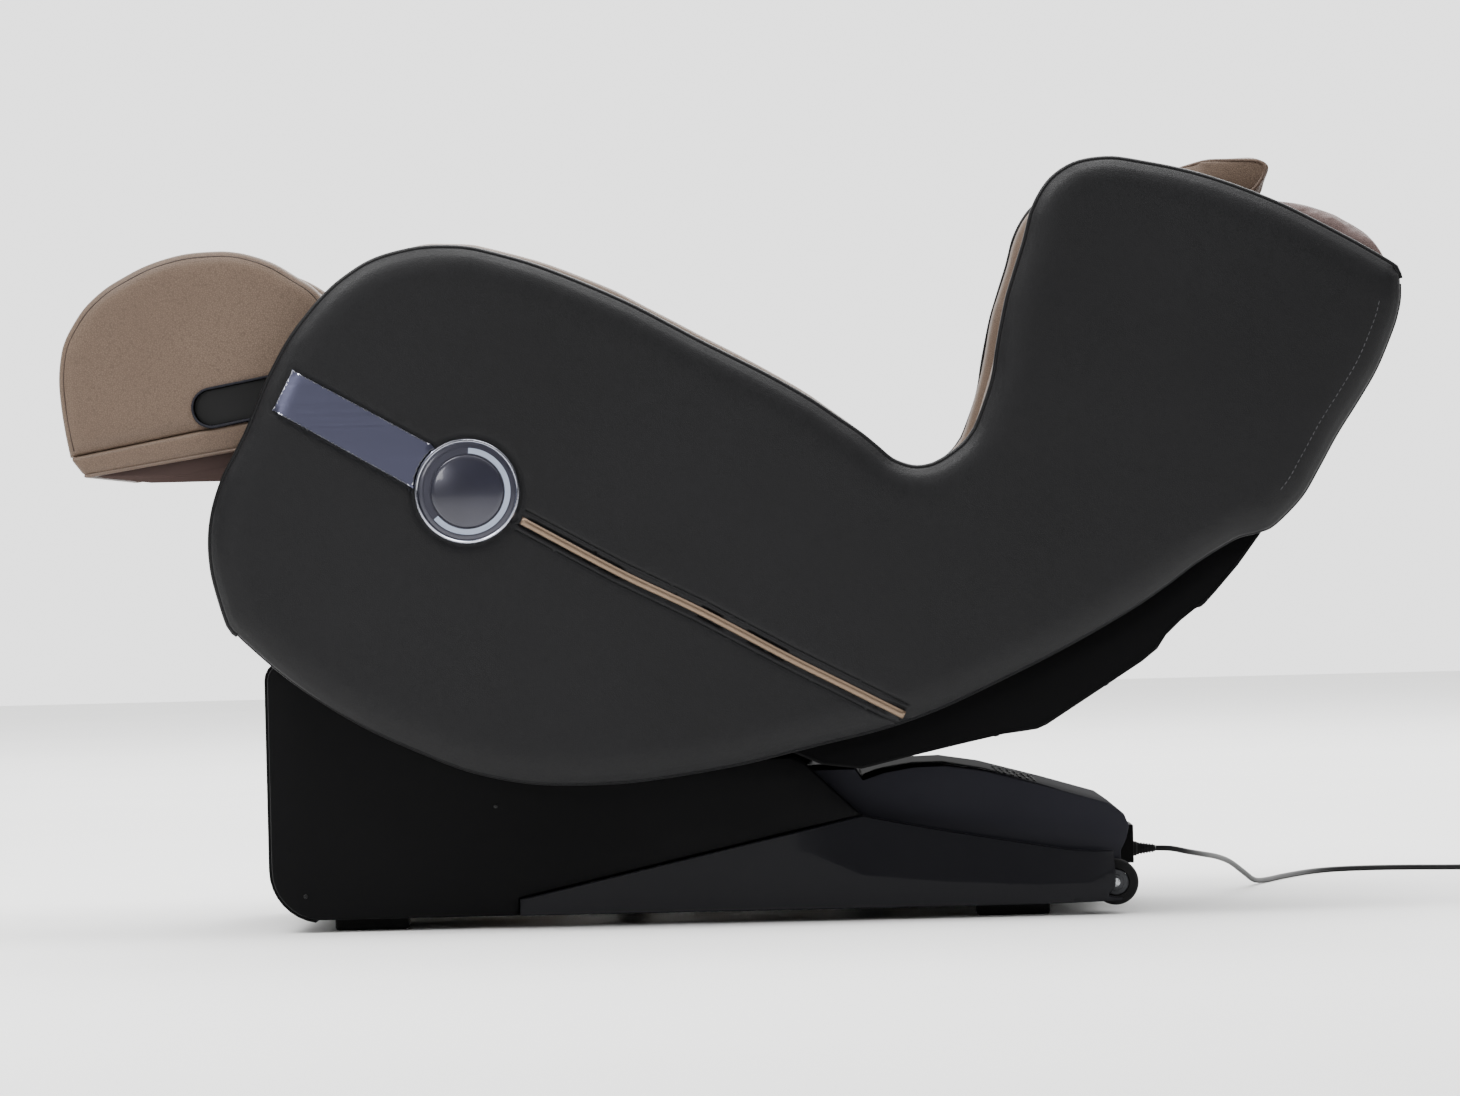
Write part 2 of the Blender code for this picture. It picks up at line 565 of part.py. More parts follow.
def cushions():
    seat = [
        (-0.452, 0.692), (-0.460, 0.722), (-0.440, 0.745), (-0.400, 0.737), (-0.300, 0.682), (-0.150, 0.582),
        (0.000, 0.480), (0.095, 0.424), (0.108, 0.395), (0.080, 0.366), (-0.110, 0.486), (-0.290, 0.606),
        (-0.420, 0.676),
    ]
    part("seat_cushion", plate(seat, -SEAT_HALF, SEAT_HALF, 2, (8, 9, 12)), BEIGE_LEATHER, recline)
    back = [in_back(s, t) for s, t in ((0.030, 0.0), (0.715, 0.0), (0.715, -0.070), (0.040, -0.070), (0.015, -0.040))]
    part("back_cushion", plate(back, -SEAT_HALF, SEAT_HALF), BEIGE_LEATHER, recline)
    pillow = [
        in_back(s, t)
        for s, t in (
            (0.440, 0.001), (0.400, 0.020), (0.430, 0.062), (0.520, 0.092), (0.610, 0.098), (0.668, 0.092),
            (0.742, 0.046), (0.765, 0.018), (0.745, 0.006), (0.700, 0.001),
        )
    ]
    part("head_pillow", plate(pillow, -0.200, 0.200, 2, (0, 9)), BEIGE_LEATHER, recline)
    cap = [
        in_back(0.7154, -0.002), (0.700, 0.860), (0.741, 0.846), (0.790, 0.816), (0.806, 0.792), (0.800, 0.774),
        (0.760, 0.764), in_back(0.7154, -0.066),
    ]
    part("head_cap", plate(cap, -SEAT_HALF, SEAT_HALF), MAUVE_LEATHER, recline)


def back_shell():
    """Black moulded shell that closes the back, with a cheek each side that reaches up behind the panel's edge."""
    profile = [
        (0.020, 0.2120), (0.066, 0.2075), (0.100, 0.1925), (0.147, 0.1865), (0.210, 0.2010), (0.272, 0.2145),
        (0.320, 0.2245), (0.345, 0.2275), (0.361, 0.2297), (0.373, 0.2348), (0.443, 0.2790), (0.490, 0.3085),
        (0.509, 0.3235), (0.520, 0.3400), (0.538, 0.3570), (0.5555, 0.3705), (0.567, 0.3760), (0.582, 0.3920),
        (0.609, 0.4225), (0.636, 0.4585), (0.700, 0.5600), (0.760, 0.6650), (0.7885, 0.7500),
    ]
    half_width = LINER_OUT - 0.001
    shell = part("back_shell", sheet(profile, half_width), BLACK_PLASTIC, recline)
    thicken(shell, 0.004, -1)
    top = [(0.640, 0.490), (0.601, 0.478), (0.479, 0.398), (0.307, 0.307), (0.203, 0.266), (0.097, 0.240), (0.040, 0.226)]
    cheek = [(x, z + 0.0015) for x, z in profile if 0.060 < x < 0.637]
    for side, tag in SIDES:
        y0, y1 = span(side, half_width - 0.0064, half_width - 0.0004)
        weld(shell, tool(f"cheek_{tag}", plate(cheek + top, y0, y1)))


for side, tag in SIDES:
    side_panel(side, tag)
    arm_liner(side, tag)
    trim(side, tag)
cushions()
back_shell()

# ---- leg rest ----------------------------------------------------------------
ARM_IN, ARM_OUT = 0.2830, 0.2910
WALL_IN, WALL_OUT = 0.2550, 0.3050
DIVIDER_HALF = 0.0300
SEAM_SLOPE = math.tan(math.radians(10.3))


def seam(x, below=0.0):
    """A point on the foot rest's lower seam at x, or below it."""
    return x, 0.589 + (x + 0.797) * SEAM_SLOPE - below


def leg_arms():
    """Shaft across the chair with a steel arm at each end, welded, on the leg rest's hinge."""
    arms = part("leg_rest_arms", cross_bar(KNEE_AT, ARM_OUT - 0.001, SHAFT_R, 24), PAINTED_STEEL, knee)
    half = SLOT_HALF - 0.0025
    for side, tag in SIDES:
        hub = arc(KNEE_AT, 0.025, 230, 400, 8)
        outline = [*arc(SLOT_START, half, 110, 270, 8), in_slot(0.110, -half), *hub, in_slot(0.150, half)]
        y0, y1 = span(side, ARM_IN, ARM_OUT)
        weld(arms, tool(f"arm_{tag}", plate(outline, y0, y1)))


WALL_OUTLINE = [
    seam(-0.806), (-0.8165, 0.655), (-0.814, 0.715), (-0.799, 0.749), (-0.775, 0.779), (-0.737, 0.805),
    (-0.687, 0.826), (-0.632, 0.834), (-0.583, 0.829), (-0.528, 0.802), (-0.487, 0.761), (-0.492, 0.728),
    (-0.512, 0.690), seam(-0.548),
]


def leg_walls():
    """D-shaped side walls, with the slot that the arms slide in, and the wall between the legs."""
    pocket = [in_slot(0.16, SLOT_HALF), *arc(SLOT_START, SLOT_HALF, 100, 280, 10), in_slot(0.16, -SLOT_HALF)]
    for side, tag in SIDES:
        y0, y1 = span(side, WALL_IN, WALL_OUT)
        wall = part(f"leg_side_wall_{tag}", plate(WALL_OUTLINE, y0, y1, 2, (0, 13)), BEIGE_LEATHER, foot_slide)
        y0, y1 = span(side, ARM_IN - 0.003, WALL_OUT + 0.010)
        carve(wall, tool(f"slot_{tag}", plate(pocket, y0, y1)))
    low = [(x, z - 0.006 if z > 0.7 else z) for x, z in WALL_OUTLINE]
    part("leg_divider", plate(low, -DIVIDER_HALF, DIVIDER_HALF, 2, (0, 13)), BEIGE_LEATHER, foot_slide)


def calf_pads():
    """Padded troughs, each with a floor under the calf and a wall at the sole."""
    outline = [
        seam(-0.804), (-0.813, 0.655), (-0.810, 0.714), (-0.795, 0.745), (-0.769, 0.771), (-0.743, 0.786),
        (-0.722, 0.765), (-0.722, 0.715), (-0.708, 0.690), (-0.650, 0.693), (-0.560, 0.712), (-0.496, 0.737),
        (-0.497, 0.716), (-0.512, 0.690), seam(-0.548),
    ]
    for side, tag in SIDES:
        y0, y1 = span(side, DIVIDER_HALF + GAP, WALL_IN - GAP)
        part(f"calf_pad_{tag}", plate(outline, y0, y1), BEIGE_LEATHER, foot_slide)


def foot_underside():
    """Leather band below the seam, and the moulded pan under it."""
    band = [seam(-0.806, GAP), seam(-0.548, GAP), seam(-0.560, 0.030), seam(-0.600, 0.032), seam(-0.789, 0.026)]
    part("foot_rest_band", plate(band, -0.303, 0.303), BEIGE_LEATHER, foot_slide)
    pan = [
        seam(-0.779, 0.0268), seam(-0.600, 0.0324), seam(-0.585, 0.0318), (-0.600, 0.574), (-0.672, 0.562),
        (-0.766, 0.5620),
    ]
    part("foot_rest_pan", plate(pan, -0.296, 0.296), MAUVE_LEATHER, foot_slide)


leg_arms()
leg_walls()
calf_pads()
foot_underside()

# ---- mains lead --------------------------------------------------------------
CORD_D = 0.007
LEAD_EXIT = (0.5150, -0.0250, 0.0690)
ROUTE = [
    (0.5153, -0.0250, 0.0690), (0.5350, -0.0240, 0.0680), (0.5560, -0.0100, 0.0630), (0.5790, 0.0350, 0.0570),
    (0.6000, 0.1100, 0.0500), (0.6220, 0.1950, 0.0390), (0.6450, 0.2800, 0.0210), (0.6640, 0.3560, 0.0065),
    (0.6850, 0.4200, 0.0036), (0.7060, 0.4850, 0.0036), (0.7330, 0.5560, 0.0036), (0.7620, 0.6180, 0.0036),
    (0.7970, 0.6560, 0.0036), (0.8450, 0.6700, 0.0036), (0.8950, 0.6600, 0.0036), (0.9400, 0.6400, 0.0036),
    (0.9750, 0.6300, 0.0036), (1.0070, 0.6290, 0.0036),
]
COIL_MID_R = 0.0385
COIL_HALF_W = 0.0072
INNER_TURN_R = 0.0349              # the last turn, which runs into the plug
COIL_AT = (ROUTE[-1][0] + 0.0303, ROUTE[-1][1] + COIL_MID_R)   # the lead runs in along its tangent


def smooth_route(points, spacing):
    """Points about spacing apart on a smooth curve through the route's own points."""
    ends = [points[0], *points, points[-1]]
    fine = []
    for i in range(1, len(ends) - 2):
        a, b, c, d = (Vector(p) for p in ends[i - 1:i + 3])
        for k in range(12):
            t = k / 12
            fine.append(
                0.5 * ((2 * b) + (c - a) * t + (2 * a - 5 * b + 4 * c - d) * t ** 2 + (3 * b - a - 3 * c + d) * t ** 3)
            )
    fine.append(Vector(points[-1]))
    kept, gone = [fine[0]], 0.0
    for before, here in zip(fine, fine[1:]):
        gone += (here - before).length
        if gone >= spacing:
            kept.append(here)
            gone = 0.0
    if (kept[-1] - fine[-1]).length < spacing / 2:
        kept.pop()
    return kept + [fine[-1]]


def mains_lead():
    """Lead in a strain relief, lying on the floor, then coiled and tied with its plug."""
    sleeve = [(0.0, 0.0277), (0.0047, 0.0277), (0.0060, 0.010), (0.0090, 0.009), (0.0090, 0.0), (0.0, 0.0)]
    turned("cord_strain_relief", RUBBER, sleeve, (0.4873, LEAD_EXIT[1], LEAD_EXIT[2]), (1, 0, 0), 16, closed=False)
    curve = bpy.data.curves.new("power_cord", "CURVE")
    curve.dimensions = "3D"
    curve.bevel_depth = CORD_D / 2
    curve.bevel_resolution = 2
    curve.use_fill_caps = True
    spline = curve.splines.new("POLY")
    line = smooth_route(ROUTE, 0.015)
    spline.points.add(len(line) - 1)
    for knot, place in zip(spline.points, line):
        knot.co = (*place, 1)
    cord = bpy.data.objects.new("power_cord", curve)
    curve.materials.append(own_finish(RUBBER, "power_cord"))
    chair.objects.link(cord)
    outer, inner = COIL_MID_R + COIL_HALF_W, COIL_MID_R - COIL_HALF_W
    height = 0.0145
    x, y = COIL_AT
    turned("cord_coil", RUBBER, ring(outer, inner, 0, height), (x, y, 0.0001), (0, 0, 1), 32)
    x, y = x + 0.0155, y - INNER_TURN_R
    body = block((x - 0.0175, y - 0.016, height + 0.0004), (x + 0.0175, y + 0.016, height + 0.0264))
    plug = part("mains_plug", body, RUBBER)
    round_edges(plug, 0.004, 2)
    for offset in (-0.0095, 0.0095):
        middle = height + 0.0134
        pin = bar((x + 0.0160, y + offset, middle), (x + 0.0355, y + offset, middle), 0.0024, 12)
        weld(plug, tool("plug_pin", pin))


mains_lead()
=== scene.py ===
"""Looks of the reclining massage chair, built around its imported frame.

The sections follow the chair as it is put together: room, base, wheels and covers,
seat frame, back shell, side panels with their trim, cushions, leg rest, mains lead.
Everything is in metres. Left is the side at -Y.
"""
import json
import math

import bmesh
import bpy
import numpy as np
from mathutils import Matrix, Vector, geometry
from mathutils.bvhtree import BVHTree

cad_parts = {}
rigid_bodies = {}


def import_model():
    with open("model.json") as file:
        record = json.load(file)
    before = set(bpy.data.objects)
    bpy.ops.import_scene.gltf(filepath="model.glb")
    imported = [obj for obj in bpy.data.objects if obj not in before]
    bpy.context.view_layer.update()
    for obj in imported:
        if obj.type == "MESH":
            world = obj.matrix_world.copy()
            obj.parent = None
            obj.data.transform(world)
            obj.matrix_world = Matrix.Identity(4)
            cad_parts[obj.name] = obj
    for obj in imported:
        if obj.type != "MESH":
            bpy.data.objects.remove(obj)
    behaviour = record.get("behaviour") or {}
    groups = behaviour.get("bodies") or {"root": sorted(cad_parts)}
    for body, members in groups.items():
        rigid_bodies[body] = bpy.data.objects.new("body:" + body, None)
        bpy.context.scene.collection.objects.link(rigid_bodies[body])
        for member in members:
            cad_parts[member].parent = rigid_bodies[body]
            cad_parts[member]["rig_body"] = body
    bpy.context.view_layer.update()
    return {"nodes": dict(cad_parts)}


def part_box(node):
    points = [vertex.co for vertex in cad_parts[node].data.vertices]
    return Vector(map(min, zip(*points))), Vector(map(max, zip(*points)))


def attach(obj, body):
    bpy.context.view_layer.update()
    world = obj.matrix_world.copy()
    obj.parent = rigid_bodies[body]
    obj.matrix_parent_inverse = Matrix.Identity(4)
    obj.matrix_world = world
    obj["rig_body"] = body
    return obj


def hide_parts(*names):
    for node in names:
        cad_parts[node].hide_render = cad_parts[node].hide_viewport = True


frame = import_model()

SIDES = ((-1, "left"), (1, "right"))

# ---- room --------------------------------------------------------------------
# A pale floor in a room whose far wall and ceiling glow white and whose near side is dark, so that
# black leather keeps its depth. Soft lamps hang over the foot end and the seat, a weak strip stands
# before the foot end, and a wide lamp evens out the floor behind the chair.

FLOOR_HALF = 14.0
LAMPS = (  # name, place, aim, size, watts
    ("key_light", (-2.2, -1.5, 3.8), (-0.3, 0, 0.6), 1.6, 150),
    ("top_light", (0.5, -0.3, 4.0), (0.2, 0, 0.5), 1.8, 110),
    ("strip_light", (-2.3, -5.6, 1.7), (-0.5, 0, 0.6), 0.9, 40),
    ("floor_light", (0.5, 5.5, 5.0), (0.0, 4.0, 0.0), 5.0, 500),
)
LENS_MM, SENSOR_MM, FAR_LIMIT = 164, 36, 60
LENS_AT, LENS_AIM = Vector((0.09, -8.38, 0.45)), Vector((-0.005, -0.38, 0.458))
LENS_ROLL = math.radians(-1.4)


def linear(colour, alpha=1.0):
    """An sRGB hex colour as linear numbers."""
    channels = [int(colour[i:i + 2], 16) / 255 for i in (0, 2, 4)]
    return (*[((c + 0.055) / 1.055) ** 2.4 if c > 0.04045 else c / 12.92 for c in channels], alpha)


def add(tree, kind, values=None, links=None, **settings):
    """Adds a node, sets its properties and the values of its sockets, and links its inputs."""
    made = tree.nodes.new(kind)
    for key, value in settings.items():
        setattr(made, key, value)
    for socket, value in (values or {}).items():
        made.inputs[socket].default_value = value
    for socket, source in (links or {}).items():
        tree.links.new(source, made.inputs[socket])
    return made


def finish(name, values):
    """A new Principled finish. Returns it with its tree, its shader and the object's own coordinates."""
    look = bpy.data.materials.new(name)
    look.use_nodes = True
    tree = look.node_tree
    shader = tree.nodes["Principled BSDF"]
    for socket, value in values.items():
        shader.inputs[socket].default_value = value
    return look, tree, shader, add(tree, "ShaderNodeTexCoord").outputs["Object"]


def linked(name, mesh):
    """A new object for a mesh, in the scene."""
    made = bpy.data.objects.new(name, mesh)
    bpy.context.scene.collection.objects.link(made)
    return made


def glow(tree, height, low, high, dim, bright):
    """The room's brightness, going smoothly from dim to bright as a direction turns from low to high."""
    return add(
        tree, "ShaderNodeMapRange", {"From Min": low, "From Max": high, "To Min": dim, "To Max": bright},
        {"Value": height}, interpolation_type="SMOOTHSTEP",
    ).outputs["Result"]


def studio():
    """The floor, the glowing room and its lamps."""
    mesh = bpy.data.meshes.new("floor")
    corners = [(x * FLOOR_HALF, y * FLOOR_HALF, 0) for x, y in ((-1, -1), (1, -1), (1, 1), (-1, 1))]
    mesh.from_pydata(corners, [], [(0, 1, 2, 3)])
    floor = linked("floor", mesh)
    look, tree, shader, place = finish("painted_floor", {"Roughness": 0.75, "Specular IOR Level": 0.25})
    mottle = add(tree, "ShaderNodeTexNoise", {"Scale": 1.5, "Detail": 2.0}, {"Vector": place})
    tone = add(tree, "ShaderNodeValToRGB", links={"Fac": mottle.outputs["Fac"]})
    tone.color_ramp.elements[0].color = linear("f1f1f0")
    tone.color_ramp.elements[1].color = linear("f7f7f6")
    tree.links.new(tone.outputs["Color"], shader.inputs["Base Color"])
    mesh.materials.append(look)
    sky = bpy.data.worlds.new("white_room")
    sky.use_nodes = True
    tree = sky.node_tree
    way = add(tree, "ShaderNodeNewGeometry")
    parts = add(tree, "ShaderNodeSeparateXYZ", links={"Vector": way.outputs["Incoming"]})
    behind = glow(tree, parts.outputs["Y"], 0.15, -0.70, 0.06, 2.4)
    above = glow(tree, parts.outputs["Z"], -0.15, -0.95, 0.0, 2.2)
    brighter = add(tree, "ShaderNodeMath", links={0: behind, 1: above}, operation="MAXIMUM")
    tree.links.new(brighter.outputs["Value"], tree.nodes["Background"].inputs["Strength"])
    tree.nodes["Background"].inputs["Color"].default_value = (1, 1, 1, 1)
    bpy.context.scene.world = sky
    for name, at, towards, size, power in LAMPS:
        lamp = bpy.data.lights.new(name, "AREA")
        lamp.size = size
        lamp.energy = power
        stand = linked(name, lamp)
        stand.location = at
        stand.rotation_euler = (Vector(towards) - Vector(at)).to_track_quat("-Z", "Y").to_euler()


def camera():
    """A long lens level with the seat, held a little off level."""
    lens = bpy.data.cameras.new("side_view")
    lens.lens = LENS_MM
    lens.sensor_width = SENSOR_MM
    lens.clip_end = FAR_LIMIT
    stand = linked("side_view", lens)
    turn = (LENS_AIM - LENS_AT).to_track_quat("-Z", "Y").to_matrix().to_4x4()
    stand.matrix_world = Matrix.Translation(LENS_AT) @ (turn @ Matrix.Rotation(LENS_ROLL, 4, "Z"))
    bpy.context.scene.camera = stand


studio()
camera()

# ---- welded base and its running gear ----------------------------------------
# Square steel tube, welded and powder coated black, on four rubber feet. The recline shaft and
# the wheel axle are zinc-plated bar. The motor, pump and control box are bolted to the frame.


def noise(tree, place, size, detail):
    """A noise whose blotches are size metres across."""
    made = add(tree, "ShaderNodeTexNoise", {"Scale": 1 / size, "Detail": detail}, {"Vector": place})
    return made.outputs["Fac"]


def toned(tree, shader, factor, colour, other):
    """Blends a finish's colour between two sRGB colours by a texture."""
    tone = add(tree, "ShaderNodeMix", {6: linear(colour), 7: linear(other)}, {0: factor}, data_type="RGBA")
    tree.links.new(tone.outputs[2], shader.inputs["Base Color"])


def glossed(tree, shader, factor, low, high):
    """Varies a finish's roughness between two values by a texture."""
    gloss = add(tree, "ShaderNodeMapRange", {"To Min": low, "To Max": high}, {"Value": factor})
    tree.links.new(gloss.outputs["Result"], shader.inputs["Roughness"])


def bumped(tree, shader, height, strength, distance):
    """Gives a finish a texture's relief."""
    bump = add(tree, "ShaderNodeBump", {"Strength": strength, "Distance": distance}, {"Height": height})
    tree.links.new(bump.outputs["Normal"], shader.inputs["Normal"])


def powder_coat(name, colour):
    """Powder coat: a semi-gloss black film with the fine orange peel it cures with."""
    look, tree, shader, place = finish(name, {
        "Base Color": linear(colour), "Roughness": 0.45, "Specular IOR Level": 0.25,
    })
    bumped(tree, shader, noise(tree, place, 0.0025, 2.0), 0.25, 0.0002)
    return look


def plated(name, colour, roughness, streak):
    """Turned and plated steel: bright, with fine drawing marks streak metres long that break up its gloss."""
    look, tree, shader, place = finish(name, {"Base Color": linear(colour), "Metallic": 1.0})
    drawn = add(tree, "ShaderNodeMapping", {"Scale": (1 / 0.0012, 1 / streak, 1 / 0.0012)}, {"Vector": place})
    glossed(tree, shader, noise(tree, drawn.outputs["Vector"], 1.0, 3.0), roughness * 0.75, roughness * 1.35)
    return look


def moulded(name, colour, dusty, roughness, grain_mm, depth, coat=0.0, shine=0.2):
    """Injection-moulded ABS: a spark-eroded grain, a little duller and paler in patches from handling."""
    look, tree, shader, place = finish(name, {
        "Coat Weight": coat, "Coat Roughness": 0.06, "Specular IOR Level": shine,
    })
    handled = noise(tree, place, 0.16, 4.0)
    toned(tree, shader, handled, colour, dusty)
    glossed(tree, shader, handled, roughness * 0.85, roughness * 1.2)
    bumped(tree, shader, noise(tree, place, grain_mm / 1000, 1.0), depth, 0.0002)
    return look


PAINTED_STEEL = powder_coat("black_powder_coat", "0d0d0e")
ZINC_STEEL = plated("zinc_plated_steel", "a9abae", 0.24, 0.05)
FOOT_RUBBER = moulded("moulded_rubber", "060607", "0e0e0f", 0.72, 1.4, 0.5)
GREY_NYLON = moulded("glass_filled_nylon", "55575b", "65676b", 0.5, 1.0, 0.35)
TEXTURED_ABS = moulded("fine_textured_abs", "020203", "040405", 0.55, 0.9, 0.22, shine=0.09)


def settle(piece, body, slot, *nodes):
    """Hangs a finished piece on a body and hides the CAD nodes that it stands for. The slot it is given is
    not used.
    """
    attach(piece, body)
    if nodes:
        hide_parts(*nodes)
    return piece


def merged(name):
    """A bmesh of a CAD node, its loose triangles joined and its flat faces whole."""
    bm = bmesh.new()
    bm.from_mesh(frame["nodes"][name].data)
    bmesh.ops.remove_doubles(bm, verts=bm.verts, dist=0.00002)
    return bm


def meshed(name, bm, look, smooth_angle=35):
    """An object from a bmesh, smooth except where its faces meet at more than an angle."""
    mesh = bpy.data.meshes.new(name)
    bm.to_mesh(mesh)
    bm.free()
    mesh.shade_smooth()
    mesh.set_sharp_from_angle(angle=math.radians(smooth_angle))
    mesh.materials.append(look)
    return linked(name, mesh)


def refined(node, look, slot, width, segments=2, angle=40):
    """A CAD node's own shape with its edges rounded, as a mould or a file leaves them."""
    bm = merged(node)
    bmesh.ops.dissolve_limit(bm, angle_limit=math.radians(0.5), verts=bm.verts, edges=bm.edges)
    sharp = [e for e in bm.edges if len(e.link_faces) == 2 and e.calc_face_angle() > math.radians(angle)]
    bmesh.ops.bevel(
        bm, geom=sharp, offset=width, segments=segments, profile=0.5, affect="EDGES", clamp_overlap=True,
    )
    piece = meshed(f"{node}_finished", bm, look, 30)
    return settle(piece, frame["nodes"][node]["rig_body"], slot, node)


def coated(look, *nodes):
    """Gives CAD nodes whose shape is right their real finish."""
    for name in nodes:
        mesh = frame["nodes"][name].data
        mesh.materials.clear()
        mesh.materials.append(look)


coated(PAINTED_STEEL, "base_frame")
coated(ZINC_STEEL, "recline_shaft", "wheel_axle", "actuator_rod")
coated(PAINTED_STEEL, "actuator_tube")
for end in ("front", "rear"):
    for side, tag in SIDES:
        coated(FOOT_RUBBER, f"{end}_foot_{tag}")
refined("control_box", PAINTED_STEEL, "painted_steel", 0.003)
refined("air_pump", GREY_NYLON, "grey_nylon", 0.003)


def bridged(bm, rows):
    """Faces between each closed row of points and the next."""
    for one, two in zip(rows, rows[1:]):
        for i in range(len(one)):
            j = (i + 1) % len(one)
            bm.faces.new((one[i], one[j], two[j], two[i]))


def spun(name, profile, centre, axis, look, steps=48, smooth_angle=35):
    """A profile of radius and height turned about an axis, closed at its ends."""
    bm = bmesh.new()
    rings = []
    for radius, height in profile:
        if radius < 1e-6:
            rings.append([bm.verts.new((0, 0, height))] * steps)
            continue
        turns = [2 * math.pi * i / steps for i in range(steps)]
        rings.append([bm.verts.new((radius * math.cos(a), radius * math.sin(a), height)) for a in turns])
    loop = profile[0][0] > 1e-6 or profile[-1][0] > 1e-6
    pairs = list(zip(rings, rings[1:] + rings[:1])) if loop else list(zip(rings, rings[1:]))
    for low, high in pairs:
        for i in range(steps):
            j = (i + 1) % steps
            corners = list(dict.fromkeys((low[i], low[j], high[j], high[i])))
            if len(corners) > 2:
                bm.faces.new(corners)
    place = Matrix.Translation(centre) @ Vector(axis).to_track_quat("Z", "Y").to_matrix().to_4x4()
    bmesh.ops.transform(bm, matrix=place, verts=bm.verts)
    bmesh.ops.recalc_face_normals(bm, faces=bm.faces)
    return meshed(name, bm, look, smooth_angle)


def combined(name, pieces):
    """Several pieces of one finish as one object."""
    bm = bmesh.new()
    looks = []
    for piece in pieces:
        before = len(bm.faces)
        bm.from_mesh(piece.data)
        bm.faces.ensure_lookup_table()
        look = piece.data.materials[0]
        if look not in looks:
            looks.append(look)
        for face in bm.faces[before:]:
            face.material_index = looks.index(look)
        bpy.data.objects.remove(piece)
    made = meshed(name, bm, looks[0])
    for look in looks[1:]:
        made.data.materials.append(look)
    return made


# ---- transport wheels --------------------------------------------------------
# Solid rubber tyre on a nylon hub, held on the axle by a plated hexagon nut.

WHEEL_NYLON = moulded("wheel_nylon", "3b3c3f", "48494c", 0.42, 0.8, 0.2)


def transport_wheel(side, tag):
    low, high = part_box(f"transport_wheel_{tag}")
    centre = (low + high) / 2
    radius, half = (high.z - low.z) / 2, (high.y - low.y) / 2
    tyre = [
        (radius - 0.0026, half), (radius - 0.0006, half - 0.002), (radius, half - 0.005),
        (radius, -half + 0.005), (radius - 0.0006, -half + 0.002), (radius - 0.0026, -half),
        (0.0170, -half), (0.0160, -half + 0.0012), (0.0160, half - 0.0012), (0.0170, half),
    ]
    hub = [
        (0.0158, half - 0.0030), (0.0148, half - 0.0022), (0.0120, half - 0.0034), (0.0095, half - 0.0034),
        (0.0088, half - 0.0004), (0.0056, half - 0.0004), (0.0056, -half + 0.0004), (0.0158, -half + 0.0030),
    ]
    out = (0, side, 0)
    rim = spun(f"tyre_{tag}", tyre, centre, out, FOOT_RUBBER, 56)
    core = spun(f"hub_{tag}", hub, centre, out, WHEEL_NYLON, 40)
    settle(rim, f"wheel_{tag}", "rubber", f"transport_wheel_{tag}")
    settle(core, f"wheel_{tag}", "grey_nylon")
    nut = [(0.0, 0.0046), (0.0038, 0.0046), (0.0052, 0.0040), (0.0054, 0.0034), (0.0054, 0.0), (0.0, 0.0)]
    at = centre + Vector((0, side * (half + 0.0003), 0))
    settle(spun(f"axle_nut_{tag}", nut, at, out, ZINC_STEEL, 6, 20), "base", "bright_steel")


for side, tag in SIDES:
    transport_wheel(side, tag)

# ---- base covers -------------------------------------------------------------
# Flat ABS mouldings clip over the frame: fine-grained side and front covers, glossy rear skirts
# with a sloping upper facet, and a glossy hump over the wiring. Screws go in from the side.

# The hump's polished ABS is the skirts' near-black plastic given a dark grey colour: painted top light on its
# upward faces. The slot lips share it.
GLOSSY_ABS_PAINTED_TOP_LIGHT = moulded("polished_abs_painted_top_light", "25252a", "2c2c31", 0.3, 3.5, 0.05, coat=0.04, shine=0.0)
SKIRT_ABS = moulded("polished_skirt_abs", "141417", "1a1a1d", 0.3, 3.5, 0.05, coat=0.04, shine=0.08)
SKIRT_CREST = np.array([
    (-0.2727, 0.0354), (0.1474, 0.1277), (0.239, 0.109), (0.334, 0.092), (0.406, 0.080), (0.4525, 0.078),
])
SKIRT_FOOT = np.array([
    (0.08, 0.086), (0.147, 0.056), (0.250, 0.046), (0.360, 0.040), (0.425, 0.041), (0.460, 0.060),
])


def outline_of(node, outer):
    """The closed outline (x, z) of a plate's face on its +Y (1) or -Y (-1) side, counter-clockwise."""
    bm = merged(node)
    level = max(v.co.y * outer for v in bm.verts)
    face = {f for f in bm.faces if all(v.co.y * outer > level - 0.0001 for v in f.verts)}
    ahead = {}
    for f in face:
        for loop in f.loops:
            if not any(other in face for other in loop.edge.link_faces if other is not f):
                ahead[loop.vert] = loop.link_loop_next.vert
    start = here = next(iter(ahead))
    line = []
    while True:
        line.append((here.co.x, here.co.z))
        here = ahead[here]
        if here is start:
            break
    bm.free()
    line = np.array(line)
    turned = np.roll(line, -1, 0)
    area = np.sum(line[:, 0] * turned[:, 1] - turned[:, 0] * line[:, 1])
    return line if area > 0 else line[::-1]


def spline(a, b, c, d, t):
    """The point a share t of the way from b to c on a smooth curve that comes from a and goes on to d."""
    return 0.5 * (
        2 * b + (c - a) * t + (2 * a - 5 * b + 4 * c - d) * t ** 2 + (3 * b - a - 3 * c + d) * t ** 3
    )


def square_to(run):
    """Unit vectors at a right angle to each step of a line, on its right."""
    run = run / np.linalg.norm(run, axis=1)[:, None]
    return np.stack((run[:, 1], -run[:, 0]), 1)


